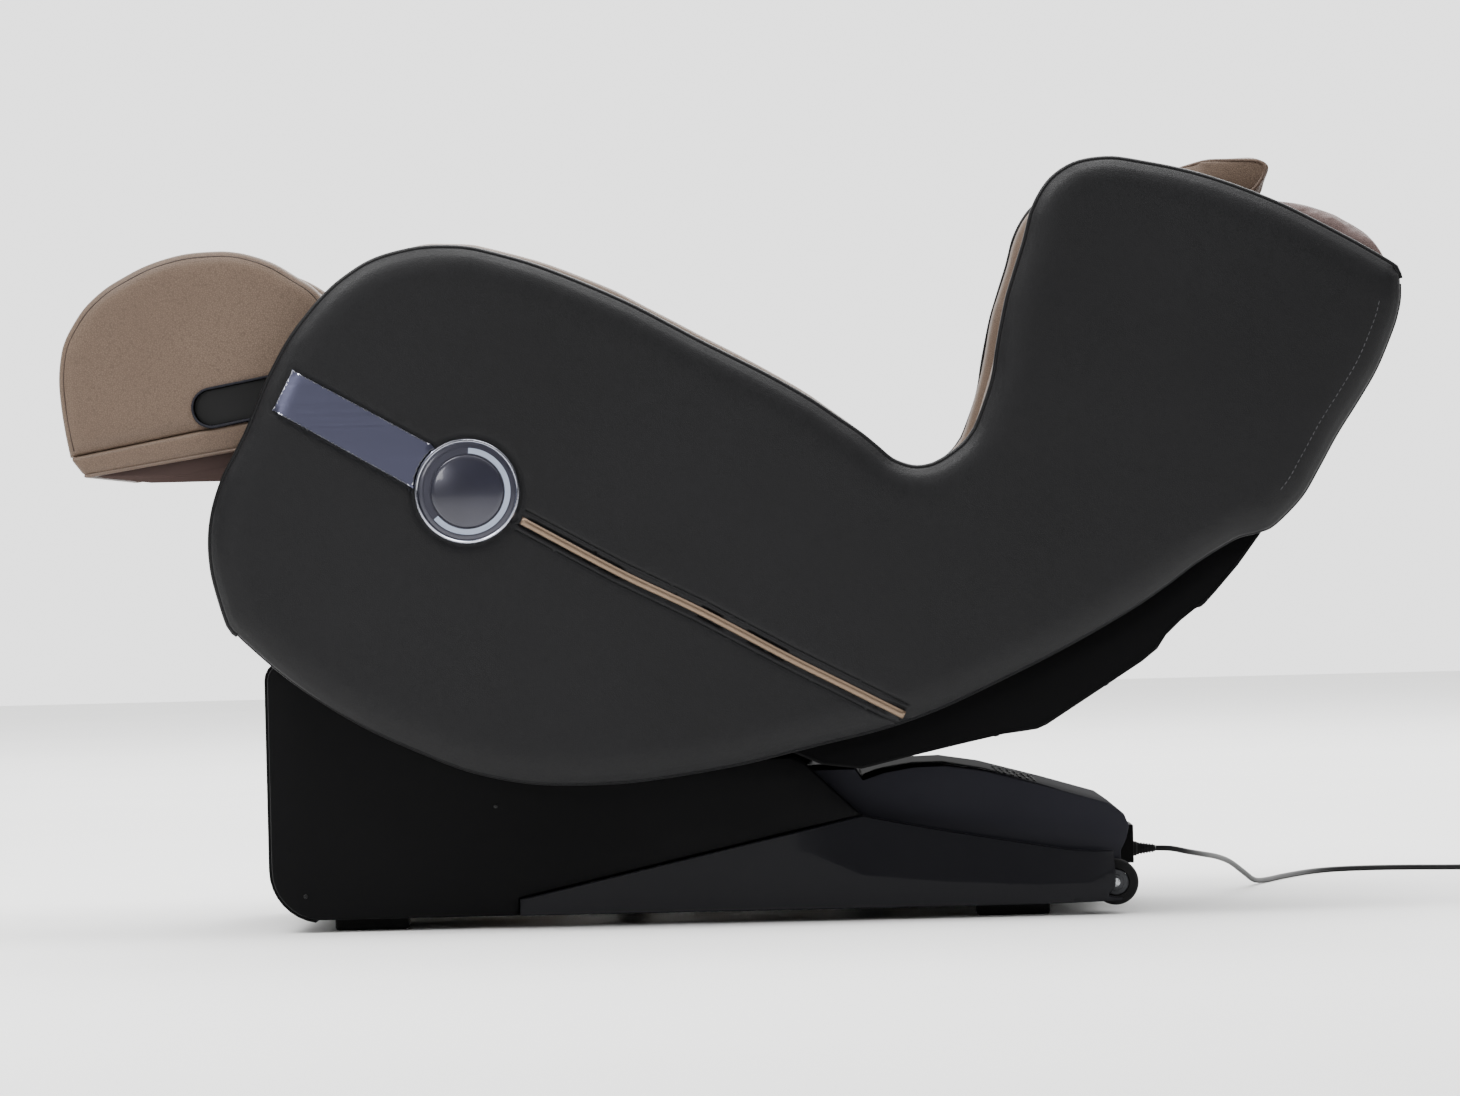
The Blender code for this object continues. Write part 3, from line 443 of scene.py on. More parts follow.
def evened(line, spacing, corner=38):
    """The same outline as a smooth run of even points, with its sharp corners kept."""
    count = len(line)
    back, fore = line - np.roll(line, 1, 0), np.roll(line, -1, 0) - line
    turn = np.arctan2(fore[:, 1], fore[:, 0]) - np.arctan2(back[:, 1], back[:, 0])
    sharp = np.abs((turn + np.pi) % (2 * np.pi) - np.pi) > math.radians(corner)
    points = []
    for i in range(count):
        a, b = line[i], line[(i + 1) % count]
        before = 2 * a - b if sharp[i] else line[i - 1]
        after = 2 * b - a if sharp[(i + 1) % count] else line[(i + 2) % count]
        steps = max(1, round(float(np.linalg.norm(b - a)) / spacing))
        points += [spline(before, a, b, after, k / steps) for k in range(steps)]
    return np.array(points)


def to_line(points, line, closed=True):
    """Each point's distance to a line, and how far along the line its nearest place lies."""
    ends = np.roll(line, -1, 0) if closed else line[1:]
    starts = line if closed else line[:-1]
    run = ends - starts
    length = np.linalg.norm(run, axis=1)
    gone = np.concatenate(([0], np.cumsum(length)[:-1]))
    nearest, along = np.empty(len(points)), np.empty(len(points))
    for first in range(0, len(points), 1500):
        some = points[first:first + 1500, None, :] - starts[None]
        t = np.clip((some * run).sum(2) / np.maximum(length ** 2, 1e-14), 0, 1)
        gap = np.linalg.norm(some - t[..., None] * run, axis=2)
        best = gap.argmin(1)
        rows = np.arange(len(best))
        nearest[first:first + 1500] = gap[rows, best]
        along[first:first + 1500] = gone[best] + t[rows, best] * length[best]
    return nearest, along


def within(points, line):
    """True for each point inside a closed outline."""
    x1, z1 = line[:, 0], line[:, 1]
    x2, z2 = np.roll(x1, -1), np.roll(z1, -1)
    hits = np.zeros(len(points), bool)
    for first in range(0, len(points), 3000):
        px, pz = points[first:first + 3000, 0:1], points[first:first + 3000, 1:2]
        spans = (z1 > pz) != (z2 > pz)
        cut = x1 + (pz - z1) * (x2 - x1) / np.where(z2 == z1, 1e-12, z2 - z1)
        hits[first:first + 3000] = (spans & (px < cut)).sum(1) % 2 == 1
    return hits


def filled(line, rings, grid, extra=()):
    """Triangles inside an outline: rings of points at set distances from it, an even field between."""
    inward = -square_to(np.roll(line, -1, 0) - np.roll(line, 1, 0))
    low, high = line.min(0), line.max(0)
    candidates = [np.asarray(points, float).reshape(-1, 2) for points in extra]
    for gap in rings:
        moved = line + inward * gap
        candidates.append(moved[to_line(moved, line)[0] > gap * 0.96])
    columns = np.arange(low[0], high[0], grid)
    rows = np.arange(low[1], high[1], grid * 0.866)
    field = np.array([(x + (grid / 2 if j % 2 else 0), z) for j, z in enumerate(rows) for x in columns])
    field = field[to_line(field, line)[0] > (rings[-1] if rings else 0) + grid * 0.45]
    candidates.append(field)
    every = np.concatenate(candidates)
    least = min(grid * 0.3, 0.0016)
    every = every[within(every, line) & (to_line(every, line)[0] > least * 0.5)]
    cells, kept = {}, []
    for point in every:
        key = (int(point[0] // least), int(point[1] // least))
        around = [cells.get((key[0] + i, key[1] + j)) for i in (-1, 0, 1) for j in (-1, 0, 1)]
        if all(other is None or math.dist(other, point) > least for other in around):
            cells[key] = point
            kept.append(point)
    points = [Vector(p) for p in line] + [Vector(p) for p in kept]
    rim = [(i, (i + 1) % len(line)) for i in range(len(line))]
    spots, _, faces = geometry.delaunay_2d_cdt(points, rim, [], 1, 1e-7)[:3]
    return np.array([tuple(p) for p in spots]), [tuple(f) for f in faces]


def relief(name, line, rings, grid, outer, inner, look, wall_rows=2, extra=(), smooth_angle=50, belly=0.0):
    """A closed pad or plate over an outline. outer and inner give the world Y of its two faces from
    x, z, the distance to the edge and the place along the edge. belly swells its wall outwards."""
    spots, faces = filled(line, rings, grid, extra)
    edge, along = to_line(spots, line)
    top, bottom = outer(spots[:, 0], spots[:, 1], edge, along), inner(spots[:, 0], spots[:, 1], edge, along)
    bm = bmesh.new()
    upper = [bm.verts.new((x, y, z)) for (x, z), y in zip(spots, top)]
    lower = [bm.verts.new((x, y, z)) for (x, z), y in zip(spots, bottom)]
    uses = {}
    for face in faces:
        bm.faces.new([upper[i] for i in face])
        bm.faces.new([lower[i] for i in reversed(face)])
        for a, b in zip(face, face[1:] + face[:1]):
            uses[(a, b)] = True
    rim = {a: b for a, b in uses if (b, a) not in uses}
    outward = {}
    behind = {b: a for a, b in rim.items()}
    for here in rim:
        run = spots[rim[here]] - spots[behind[here]]
        outward[here] = np.array((run[1], -run[0])) / max(np.linalg.norm(run), 1e-9)
    columns = {}
    for here in rim:
        column = [upper[here]]
        for k in range(1, wall_rows):
            t = k / wall_rows
            out = spots[here] + outward[here] * belly * math.sin(math.pi * t)
            column.append(bm.verts.new((out[0], top[here] * (1 - t) + bottom[here] * t, out[1])))
        columns[here] = column + [lower[here]]
    for here, after in rim.items():
        one, two = columns[here], columns[after]
        for k in range(wall_rows):
            bm.faces.new((one[k + 1], two[k + 1], two[k], one[k]))
    bmesh.ops.recalc_face_normals(bm, faces=bm.faces)
    return meshed(name, bm, look, smooth_angle)


def rounded(edge, radius):
    """How far a face has fallen at a distance from its rounded edge: 1 at the edge, 0 from radius on."""
    t = 1 - np.clip(edge / radius, 0, 1)
    return 1 - np.sqrt(np.maximum(1 - t ** 2, 0))


def level(y, fall=0.0, radius=1.0):
    """A flat face at a world Y for relief, which falls away within a radius of its edge."""
    return lambda x, z, edge, along: y - fall * rounded(edge, radius) + 0 * x


def faces_of(node, side):
    """World Y of a side plate's outer and inner face."""
    low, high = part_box(node)
    return (low.y, high.y) if side < 0 else (high.y, low.y)


def side_cover(side, tag):
    name = f"base_side_cover_{tag}"
    near, far = faces_of(name, side)
    line = evened(outline_of(name, side), 0.012, 20)
    piece = relief(
        f"side_cover_{tag}", line, (0.0004, 0.0012, 0.003), 0.03,
        level(near, side * 0.003, 0.003), level(far), TEXTURED_ABS, 1,
    )
    settle(piece, "base", "black_plastic", name)


def skirt(side, tag):
    """The facet leans in towards its upper edge, and fades out towards the front."""
    name = f"base_skirt_{tag}"
    near, far = faces_of(name, side)
    line = evened(outline_of(name, side), 0.008, 20)

    def face(x, z, edge, along):
        top, bottom = np.interp(x, *SKIRT_CREST.T), np.interp(x, *SKIRT_FOOT.T)
        lean = np.clip((z - bottom) / np.maximum(top - bottom, 0.004), 0, 1)
        fade = np.clip((x - 0.055) / 0.10, 0, 1)
        depth = 0.0085 * lean * fade * fade * (3 - 2 * fade)
        return near - side * (depth + 0.0015 * rounded(edge, 0.0015))

    ridge = [
        (x, np.interp(x, *SKIRT_FOOT.T) + rise)
        for x in np.arange(0.07, 0.45, 0.006) for rise in (-0.002, 0, 0.002)
    ]
    piece = relief(
        f"skirt_{tag}", line, (0.0005, 0.0015), 0.009, face, level(far), SKIRT_ABS, 1,
        extra=[ridge], smooth_angle=25,
    )
    settle(piece, "base", "gloss_plastic", name)


for side, tag in SIDES:
    side_cover(side, tag)
    skirt(side, tag)
refined("base_front_cover", TEXTURED_ABS, "black_plastic", 0.001, 2)
refined("rear_cover", GLOSSY_ABS_PAINTED_TOP_LIGHT, "gloss_plastic", 0.0016, 3, 30)
refined("power_inlet", TEXTURED_ABS, "black_plastic", 0.0012, 2)
refined("power_switch", TEXTURED_ABS, "black_plastic", 0.0004, 1)


def node_tree(name, *inputs):
    """A node tree on geometry, its further inputs given by name and kind. Returned with both its ends."""
    tree = bpy.data.node_groups.new(name, "GeometryNodeTree")
    for label, kind in (("Geometry", "Geometry"), *inputs):
        tree.interface.new_socket(label, in_out="INPUT", socket_type=f"NodeSocket{kind}")
    tree.interface.new_socket("Geometry", in_out="OUTPUT", socket_type="NodeSocketGeometry")
    return tree, add(tree, "NodeGroupInput").outputs, add(tree, "NodeGroupOutput").inputs["Geometry"]


def fitted_copies():
    """Node tree that sets a small shape at each point of a mesh, by the point's "facing" and "heading"."""
    tree, given, made = node_tree(
        "fitted_copies", ("Fitting", "Object"), ("Size", "Float"), ("Finish", "Material"),
    )
    facing = add(tree, "GeometryNodeInputNamedAttribute", {"Name": "facing"}, data_type="FLOAT_VECTOR")
    heading = add(tree, "GeometryNodeInputNamedAttribute", {"Name": "heading"}, data_type="FLOAT_VECTOR")
    upright = add(
        tree, "FunctionNodeAlignRotationToVector", links={"Vector": facing.outputs["Attribute"]}, axis="Z",
    )
    turned = add(
        tree, "FunctionNodeAlignRotationToVector",
        links={"Rotation": upright.outputs["Rotation"], "Vector": heading.outputs["Attribute"]},
        axis="X", pivot_axis="Z",
    )
    shape = add(tree, "GeometryNodeObjectInfo", links={"Object": given["Fitting"]})
    copies = add(tree, "GeometryNodeInstanceOnPoints", links={
        "Points": given["Geometry"], "Instance": shape.outputs["Geometry"],
        "Rotation": turned.outputs["Rotation"], "Scale": given["Size"],
    })
    real = add(tree, "GeometryNodeRealizeInstances", links={"Geometry": copies.outputs["Instances"]})
    painted = add(tree, "GeometryNodeSetMaterial", links={
        "Geometry": real.outputs["Geometry"], "Material": given["Finish"],
    })
    tree.links.new(painted.outputs["Geometry"], made)
    return tree


def grown(name, mesh, tree, values):
    """The plain mesh that a node tree makes from a mesh of points or lines, as a new object."""
    carrier = linked(name, mesh)
    made_by = carrier.modifiers.new("grown", "NODES")
    made_by.node_group = tree
    for socket in tree.interface.items_tree:
        if socket.in_out == "INPUT" and socket.name in values:
            made_by[socket.identifier] = values[socket.name]
    graph = bpy.context.evaluated_depsgraph_get()
    result = bpy.data.meshes.new_from_object(carrier.evaluated_get(graph), depsgraph=graph)
    carrier.modifiers.clear()
    bpy.data.objects.remove(carrier)
    made = linked(name, result)
    result.name = name
    return made


FITTED_COPIES = fitted_copies()


def fitted(name, spots, fitting, look, size=1.0):
    """Copies of a small shape at spots, each a point, the way it faces and the way it is turned."""
    mesh = bpy.data.meshes.new("spots")
    mesh.from_pydata([tuple(at) for at, _, _ in spots], [], [])
    for key, column in (("facing", 1), ("heading", 2)):
        store = mesh.attributes.new(key, "FLOAT_VECTOR", "POINT")
        store.data.foreach_set("vector", np.array([tuple(spot[column]) for spot in spots], float).ravel())
    return grown(name, mesh, FITTED_COPIES, {"Fitting": fitting, "Size": size, "Finish": look})


def pan_head():
    """Low domed screw head, 7 mm across, with a six-sided socket."""
    profile = [
        (0.0035, 0.0), (0.0034, 0.0007), (0.0027, 0.0013), (0.0016, 0.0015), (0.00155, 0.0004), (0.0, 0.0004),
        (0.0, 0.0),
    ]
    head = spun("pan_head", profile, (0, 0, 0), (0, 0, 1), ZINC_STEEL, 12)
    head.hide_render = True
    return head


PAN_HEAD = pan_head()
COVER_SCREWS = ((-0.018, 0.083), (-0.535, 0.045), (-0.300, 0.150))
for side, tag in SIDES:
    face = faces_of(f"base_side_cover_{tag}", side)[0]
    spots = [((x, face, z), (0, side, 0), (1, 0, 0)) for x, z in COVER_SCREWS]
    settle(fitted(f"cover_screws_{tag}", spots, PAN_HEAD, PAINTED_STEEL, 0.8), "base", "painted_steel")

# Two shallow recessed pads and a row of cooling slots on top of the hump.


def ring_block(name, centre, size, radius, look, facing=(0, 0, 1)):
    """A thin plate with rounded corners, lying on a surface that faces a given way."""
    bm = bmesh.new()
    corners = []
    for cx, cy, start in ((1, 1, 0), (-1, 1, 90), (-1, -1, 180), (1, -1, 270)):
        for k in range(5):
            a = math.radians(start + 22.5 * k)
            x = cx * (size[0] / 2 - radius) + radius * math.cos(a)
            y = cy * (size[1] / 2 - radius) + radius * math.sin(a)
            corners.append((x, y))
    rows = []
    for inset, height in ((0, 0), (0, size[2] * 0.6), (size[2] * 0.4, size[2])):
        shrink = (1 - 2 * inset / size[0], 1 - 2 * inset / size[1])
        rows.append([bm.verts.new((x * shrink[0], y * shrink[1], height)) for x, y in corners])
    bridged(bm, rows)
    bm.faces.new(rows[-1])
    bm.faces.new(rows[0][::-1])
    forward = Vector((1, 0, 0)) if abs(Vector(facing).x) < 0.95 else Vector((0, 0, -1))
    up = Vector(facing).normalized()
    across = up.cross(forward).normalized()
    ahead = across.cross(up)
    turn = Matrix((ahead, across, up)).transposed().to_4x4()
    bmesh.ops.transform(bm, matrix=Matrix.Translation(centre) @ turn, verts=bm.verts)
    bmesh.ops.recalc_face_normals(bm, faces=bm.faces)
    return meshed(name, bm, look, 30)


def hump_top(x):
    """Height of the hump's top surface, and the way it faces, at x."""
    xs, zs = zip(
        (0.149, 0.1695), (0.175, 0.178), (0.212, 0.184), (0.250, 0.185), (0.300, 0.177), (0.380, 0.155),
        (0.450, 0.134),
    )
    rise = float(np.interp(x + 0.008, xs, zs) - np.interp(x - 0.008, xs, zs)) / 0.016
    return float(np.interp(x, xs, zs)), Vector((-rise, 0, 1)).normalized()


slats = []
for x in np.arange(0.318, 0.372, 0.009):
    z, up = hump_top(x)
    for y in (-0.09, 0.0, 0.09):
        slats.append(((x, y, z + 0.0001), up, (0, 1, 0)))
slat = ring_block("slat", (0, 0, 0), (0.072, 0.0036, 0.0012), 0.0017, TEXTURED_ABS)
slat.hide_render = True
settle(fitted("hump_slats", slats, slat, TEXTURED_ABS), "base", "black_plastic")
bpy.data.objects.remove(slat)
for number, (x, width) in enumerate(((0.262, 0.055), (0.300, 0.030))):
    z, up = hump_top(x)
    size = (width * 0.6, 0.028, 0.0008)
    pad = ring_block(f"hump_pad_{number}", (x, -0.185, z), size, 0.002, TEXTURED_ABS, up)
    settle(pad, "base", "black_plastic")

# ---- seat frame and massage drive --------------------------------------------
# Laser-cut side plates and round cross tubes, welded and powder coated. The massage carriage
# and its kneading rollers are glass-filled nylon. The leg rest's gear motor is a black tube.

for side, tag in SIDES:
    refined(f"seat_rail_{tag}", PAINTED_STEEL, "painted_steel", 0.0008, 1)
    refined(f"track_rail_{tag}", PAINTED_STEEL, "painted_steel", 0.0008, 1)
coated(PAINTED_STEEL, "front_cross_tube", "hip_cross_tube", "top_cross_tube", "leg_rest_motor")
coated(GREY_NYLON, "massage_carriage", "kneading_rollers")

# ---- back shell --------------------------------------------------------------
# One black moulding closes the back and runs forward under the hip. Two fields of cooling
# slots are moulded in its lower half, and pan head screws hold it along its sides.


def at_shell(length_along):
    """Point on the shell's outer face, with the way it faces and runs, at a length up from the hip."""
    run = np.diff(SHELL_LINE, axis=0)
    size = np.linalg.norm(run, axis=1)
    gone = np.concatenate(([0], np.cumsum(size)))
    i = int(np.clip(np.searchsorted(gone, length_along) - 1, 0, len(size) - 1))
    t = (length_along - gone[i]) / size[i]
    point = SHELL_LINE[i] + t * run[i]
    ahead = run[i] / size[i]
    return point, Vector((ahead[1], 0, -ahead[0])), Vector((ahead[0], 0, ahead[1]))


SHELL_LINE = np.array([
    (0.020, 0.2120), (0.066, 0.2075), (0.100, 0.1925), (0.147, 0.1865), (0.210, 0.2010), (0.272, 0.2145),
    (0.320, 0.2245), (0.345, 0.2275), (0.361, 0.2297), (0.373, 0.2348), (0.443, 0.2790), (0.490, 0.3085),
    (0.509, 0.3235), (0.520, 0.3400), (0.538, 0.3570), (0.5555, 0.3705), (0.567, 0.3760), (0.582, 0.3920),
    (0.609, 0.4225), (0.636, 0.4585), (0.700, 0.5600), (0.760, 0.6650), (0.7885, 0.7500),
])
refined("back_shell", TEXTURED_ABS, "black_plastic", 0.0015, 2, 30)
slots, screws = [], []
for k in range(14):
    point, out, ahead = at_shell(0.800 + 0.012 * k)
    for y in (-0.150, 0.150):
        slots.append(((point[0], y, point[1]), out, (0, 1, 0)))
for k in range(5):
    point, out, ahead = at_shell(0.300 + 0.150 * k)
    for y in (-0.296, 0.296):
        screws.append(((point[0], y, point[1]), out, ahead))
bar = ring_block("slot_bar", (0, 0, 0), (0.120, 0.0050, 0.0022), 0.0024, TEXTURED_ABS)
settle(fitted("shell_slats", slots, bar, TEXTURED_ABS), "seat", "black_plastic")
bpy.data.objects.remove(bar)
settle(fitted("shell_screws", screws, PAN_HEAD, PAINTED_STEEL), "seat", "painted_steel")

# ---- leather -----------------------------------------------------------------
# Coated upholstery leather over foam. The grain is pebbled and about a millimetre across; it is drawn at over
# twice that so that it shows. Its tone varies a little in broad patches, its gloss in small ones.


def leather(name, colour, stretched, grain_shade, roughness, grain_mm=2.4, depth=0.35, sheen=0.0):
    look, tree, shader, place = finish(name, {
        "Sheen Weight": sheen, "Sheen Roughness": 0.45, "Specular IOR Level": 0.2,
    })
    cells = add(
        tree, "ShaderNodeTexVoronoi", {"Scale": 1000 / grain_mm, "Randomness": 0.9}, {"Vector": place},
        feature="DISTANCE_TO_EDGE",
    )
    pebble = add(
        tree, "ShaderNodeMapRange", {"From Max": 0.22}, {"Value": cells.outputs["Distance"]},
    )
    folds = add(
        tree, "ShaderNodeTexNoise", {"Scale": 1 / 0.022, "Detail": 7.0, "Roughness": 0.62, "Distortion": 0.5},
        {"Vector": place},
    )
    wear = noise(tree, place, 0.28, 3.0)
    spread = add(tree, "ShaderNodeMapRange", {"From Min": 0.35, "From Max": 0.68}, {"Value": wear})
    tone = add(
        tree, "ShaderNodeMix", {6: linear(colour), 7: linear(stretched)}, {0: spread.outputs["Result"]},
        data_type="RGBA",
    )
    # The hollows between the grain's pebbles are mixed toward a darker colour: painted shade in the grain.
    grain_shade_mask = add(tree, "ShaderNodeMapRange", {"From Max": 0.8}, {"Value": pebble.outputs["Result"]})
    shade = add(
        tree, "ShaderNodeMix", {6: linear(grain_shade)}, {0: grain_shade_mask.outputs["Result"], 7: tone.outputs[2]},
        data_type="RGBA",
    )
    soft = add(
        tree, "ShaderNodeBump", {"Strength": 0.35, "Distance": 0.0012}, {"Height": folds.outputs["Fac"]},
    )
    fine = add(
        tree, "ShaderNodeBump", {"Strength": depth, "Distance": 0.0003},
        {"Height": pebble.outputs["Result"], "Normal": soft.outputs["Normal"]},
    )
    tree.links.new(shade.outputs[2], shader.inputs["Base Color"])
    glossed(tree, shader, folds.outputs["Fac"], roughness * 0.85, roughness * 1.18)
    tree.links.new(fine.outputs["Normal"], shader.inputs["Normal"])
    return look


# The third colour of each leather is painted shade for the hollows of its grain.
BLACK_LEATHER = leather("black_coated_leather", "0e0e10", "121214", "09090a", 0.46)
BEIGE_LEATHER = leather("beige_coated_leather", "625246", "69594c", "52443a", 0.5)
MAUVE_LEATHER = leather("mauve_coated_leather", "5f4f4d", "665552", "4b3e3b", 0.52)
PIPING_LEATHER = leather("black_piping_leather", "08080a", "0d0d0f", "050506", 0.36, 1.6, 0.25)
BEIGE_PIPING = leather("beige_piping_leather", "615147", "6b5a4f", "51443b", 0.45, 1.6, 0.25)


def tube(name, path, radius, look, sides=12, side_axis=None):
    """A round cord along a path, capped at its ends."""
    path = [Vector(p) for p in path]
    bm = bmesh.new()
    rings, across = [], None
    for i, here in enumerate(path):
        run = (path[min(i + 1, len(path) - 1)] - path[max(i - 1, 0)]).normalized()
        if side_axis is not None:
            across = Vector(side_axis)
        elif across is None:
            across = run.orthogonal()
        across = (across - run * across.dot(run)).normalized()
        other = run.cross(across)
        turns = [2 * math.pi * k / sides for k in range(sides)]
        offs = [(across * math.cos(a) + other * math.sin(a)) * radius for a in turns]
        rings.append([bm.verts.new(here + off) for off in offs])
    bridged(bm, rings)
    bm.faces.new(rings[0][::-1])
    bm.faces.new(rings[-1])
    bmesh.ops.recalc_face_normals(bm, faces=bm.faces)
    return meshed(name, bm, look, 60)


def stretch_of(line, start, end):
    """The points of a closed outline from the one nearest start to the one nearest end, clockwise."""
    first = int(np.linalg.norm(line - np.array(start), axis=1).argmin())
    last = int(np.linalg.norm(line - np.array(end), axis=1).argmin())
    count = (first - last) % len(line)
    return np.array([line[(first - k) % len(line)] for k in range(count + 1)])


def stitches():
    """Node tree that sews a thread along lines: one rounded stitch after another, a gap between them."""
    tree, given, made = node_tree("stitches", ("Pitch", "Float"), ("Thread", "Float"), ("Finish", "Material"))
    seam = add(tree, "GeometryNodeMeshToCurve", links={"Mesh": given["Geometry"]})
    even = add(
        tree, "GeometryNodeResampleCurve", links={"Curve": seam.outputs["Curve"], "Length": given["Pitch"]},
        mode="LENGTH",
    )
    heading = add(
        tree, "FunctionNodeAlignRotationToVector",
        links={"Vector": add(tree, "GeometryNodeInputTangent").outputs["Tangent"]}, axis="X",
    )
    bead = add(tree, "GeometryNodeMeshUVSphere", {"Segments": 8, "Rings": 5, "Radius": 1.0})
    long_half = add(tree, "ShaderNodeMath", {1: 0.36}, {0: given["Pitch"]}, operation="MULTIPLY")
    size = add(
        tree, "ShaderNodeCombineXYZ",
        links={"X": long_half.outputs["Value"], "Y": given["Thread"], "Z": given["Thread"]},
    )
    copies = add(tree, "GeometryNodeInstanceOnPoints", links={
        "Points": even.outputs["Curve"], "Instance": bead.outputs["Mesh"],
        "Rotation": heading.outputs["Rotation"], "Scale": size.outputs["Vector"],
    })
    real = add(tree, "GeometryNodeRealizeInstances", links={"Geometry": copies.outputs["Instances"]})
    smooth = add(tree, "GeometryNodeSetShadeSmooth", links={"Geometry": real.outputs["Geometry"]})
    painted = add(tree, "GeometryNodeSetMaterial", links={
        "Geometry": smooth.outputs["Geometry"], "Material": given["Finish"],
    })
    tree.links.new(painted.outputs["Geometry"], made)
    return tree


STITCHES = stitches()


def thread(name, colour):
    """Bonded polyester thread: matt, with the twist of its plies as fine slanting ridges."""
    look, tree, shader, place = finish(name, {"Base Color": linear(colour), "Roughness": 0.65})
    plies = add(tree, "ShaderNodeTexWave", {"Scale": 1 / 0.0016, "Distortion": 1.0}, {"Vector": place})
    bumped(tree, shader, plies.outputs["Fac"], 0.3, 0.0002)
    return look


DARK_THREAD = thread("charcoal_thread", "3a3a3d")
BEIGE_THREAD = thread("sand_thread", "b5a292")


def sewn(name, lines, look, pitch=0.006, thick=0.00045):
    """Stitches along one or more lines of points."""
    points, edges = [], []
    for line in lines:
        edges += [(len(points) + i, len(points) + i + 1) for i in range(len(line) - 1)]
        points += [tuple(p) for p in line]
    mesh = bpy.data.meshes.new(name)
    mesh.from_pydata(points, edges, [])
    return grown(name, mesh, STITCHES, {"Pitch": pitch, "Thread": thick, "Finish": look})


# ---- side panels -------------------------------------------------------------
# Arm and wing in one: a board wrapped in foam and black leather, sewn to a narrow edge strip with
# a piping cord in the seam. The leather is pulled down around the blade, the dial and the stripe.

PANEL_ROUND = 0.040
PANEL_FALL = 0.019
PIPING_R = 0.0036
DIAL_AT = np.array((-0.320, 0.534))
STRIPE_LINE = np.array([
    (-0.256, 0.4975), (-0.138, 0.431), (-0.043, 0.383), (0.061, 0.325), (0.131, 0.288), (0.200, 0.2515),
])
BLADE_LINE = evened(outline_of("chrome_blade_left", -1), 0.005, 30)
PANEL_LINE = evened(outline_of("side_panel_left", -1), 0.007)


def depths_of(node):
    """How far a side plate's inner and outer face stand from the chair's middle."""
    return sorted(abs(corner.y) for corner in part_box(node))


PANEL_BACK, PANEL_FACE = depths_of("side_panel_left")


def valley(distance, depth, width):
    """A smooth furrow's depth at a distance from its bottom."""
    return depth * np.exp(-(distance / width) ** 2)


def panel_depth(x, z, edge, along):
    """How far the panel's face stands from the chair's middle."""
    spots = np.stack((x, z), 1)
    depth = PANEL_FACE - PANEL_FALL * rounded(edge, PANEL_ROUND)
    depth -= valley(edge - 0.0055, 0.0010, 0.0022)
    pucker = np.sin(along / 0.0135 + 2.1 * np.sin(along / 0.071)) * np.sin(along / 0.043)
    depth += 0.00022 * pucker * np.exp(-((edge - 0.014) / 0.010) ** 2)
    swell = np.sin(x * 5.1 + 0.6) * np.sin(z * 6.3 + 0.4) + 0.5 * np.sin(x * 11.0 + z * 7.0)
    depth += 0.0006 * (swell - 1.2) * (1 - rounded(edge, 0.09))
    around_dial = np.abs(np.linalg.norm(spots - DIAL_AT, axis=1) - 0.0655)
    around_blade = to_line(spots, BLADE_LINE)[0]
    depth -= valley(around_dial, 0.0022, 0.0040) + valley(around_blade, 0.0018, 0.0032)
    beside = to_line(spots, STRIPE_LINE, closed=False)[0]
    depth -= valley(beside - 0.0062, 0.0030, 0.0014) + valley(beside - 0.0135, 0.0018, 0.0014)
    depth += valley(beside - 0.0098, 0.0006, 0.0022)
    return np.minimum(depth, PANEL_FACE)


def beside_line(line, gaps, spacing=0.005):
    """Points at set distances on both sides of an open line."""
    points = []
    for a, b in zip(line, line[1:]):
        run = (b - a) / np.linalg.norm(b - a)
        off = np.array((-run[1], run[0]))
        for t in np.arange(0, 1, spacing / np.linalg.norm(b - a)):
            points += [a + t * (b - a) + off * gap for gap in gaps]
    return np.array(points)


def around(centre, radii, count):
    turns = np.linspace(0, 2 * math.pi, count, endpoint=False)
    return np.concatenate([centre + r * np.stack((np.cos(turns), np.sin(turns)), 1) for r in radii])


stripe_offs = (0.0046, 0.0062, 0.0078, 0.0098, 0.0118, 0.0135, 0.0152, 0.018)
stripe_gaps = [sign * gap for gap in stripe_offs for sign in (1, -1)]
blade_out = square_to(np.roll(BLADE_LINE, -1, 0) - np.roll(BLADE_LINE, 1, 0))
PANEL_DETAIL = [
    beside_line(STRIPE_LINE, stripe_gaps),
    around(DIAL_AT, (0.059, 0.0625, 0.0655, 0.0685, 0.073), 80),
    np.concatenate([BLADE_LINE + blade_out * gap for gap in (-0.003, 0.0, 0.003, 0.006)]),
]
PANEL_RINGS = (0.0012, 0.003, 0.0055, 0.008, 0.0115, 0.016, 0.0215, 0.028, 0.035, 0.043)


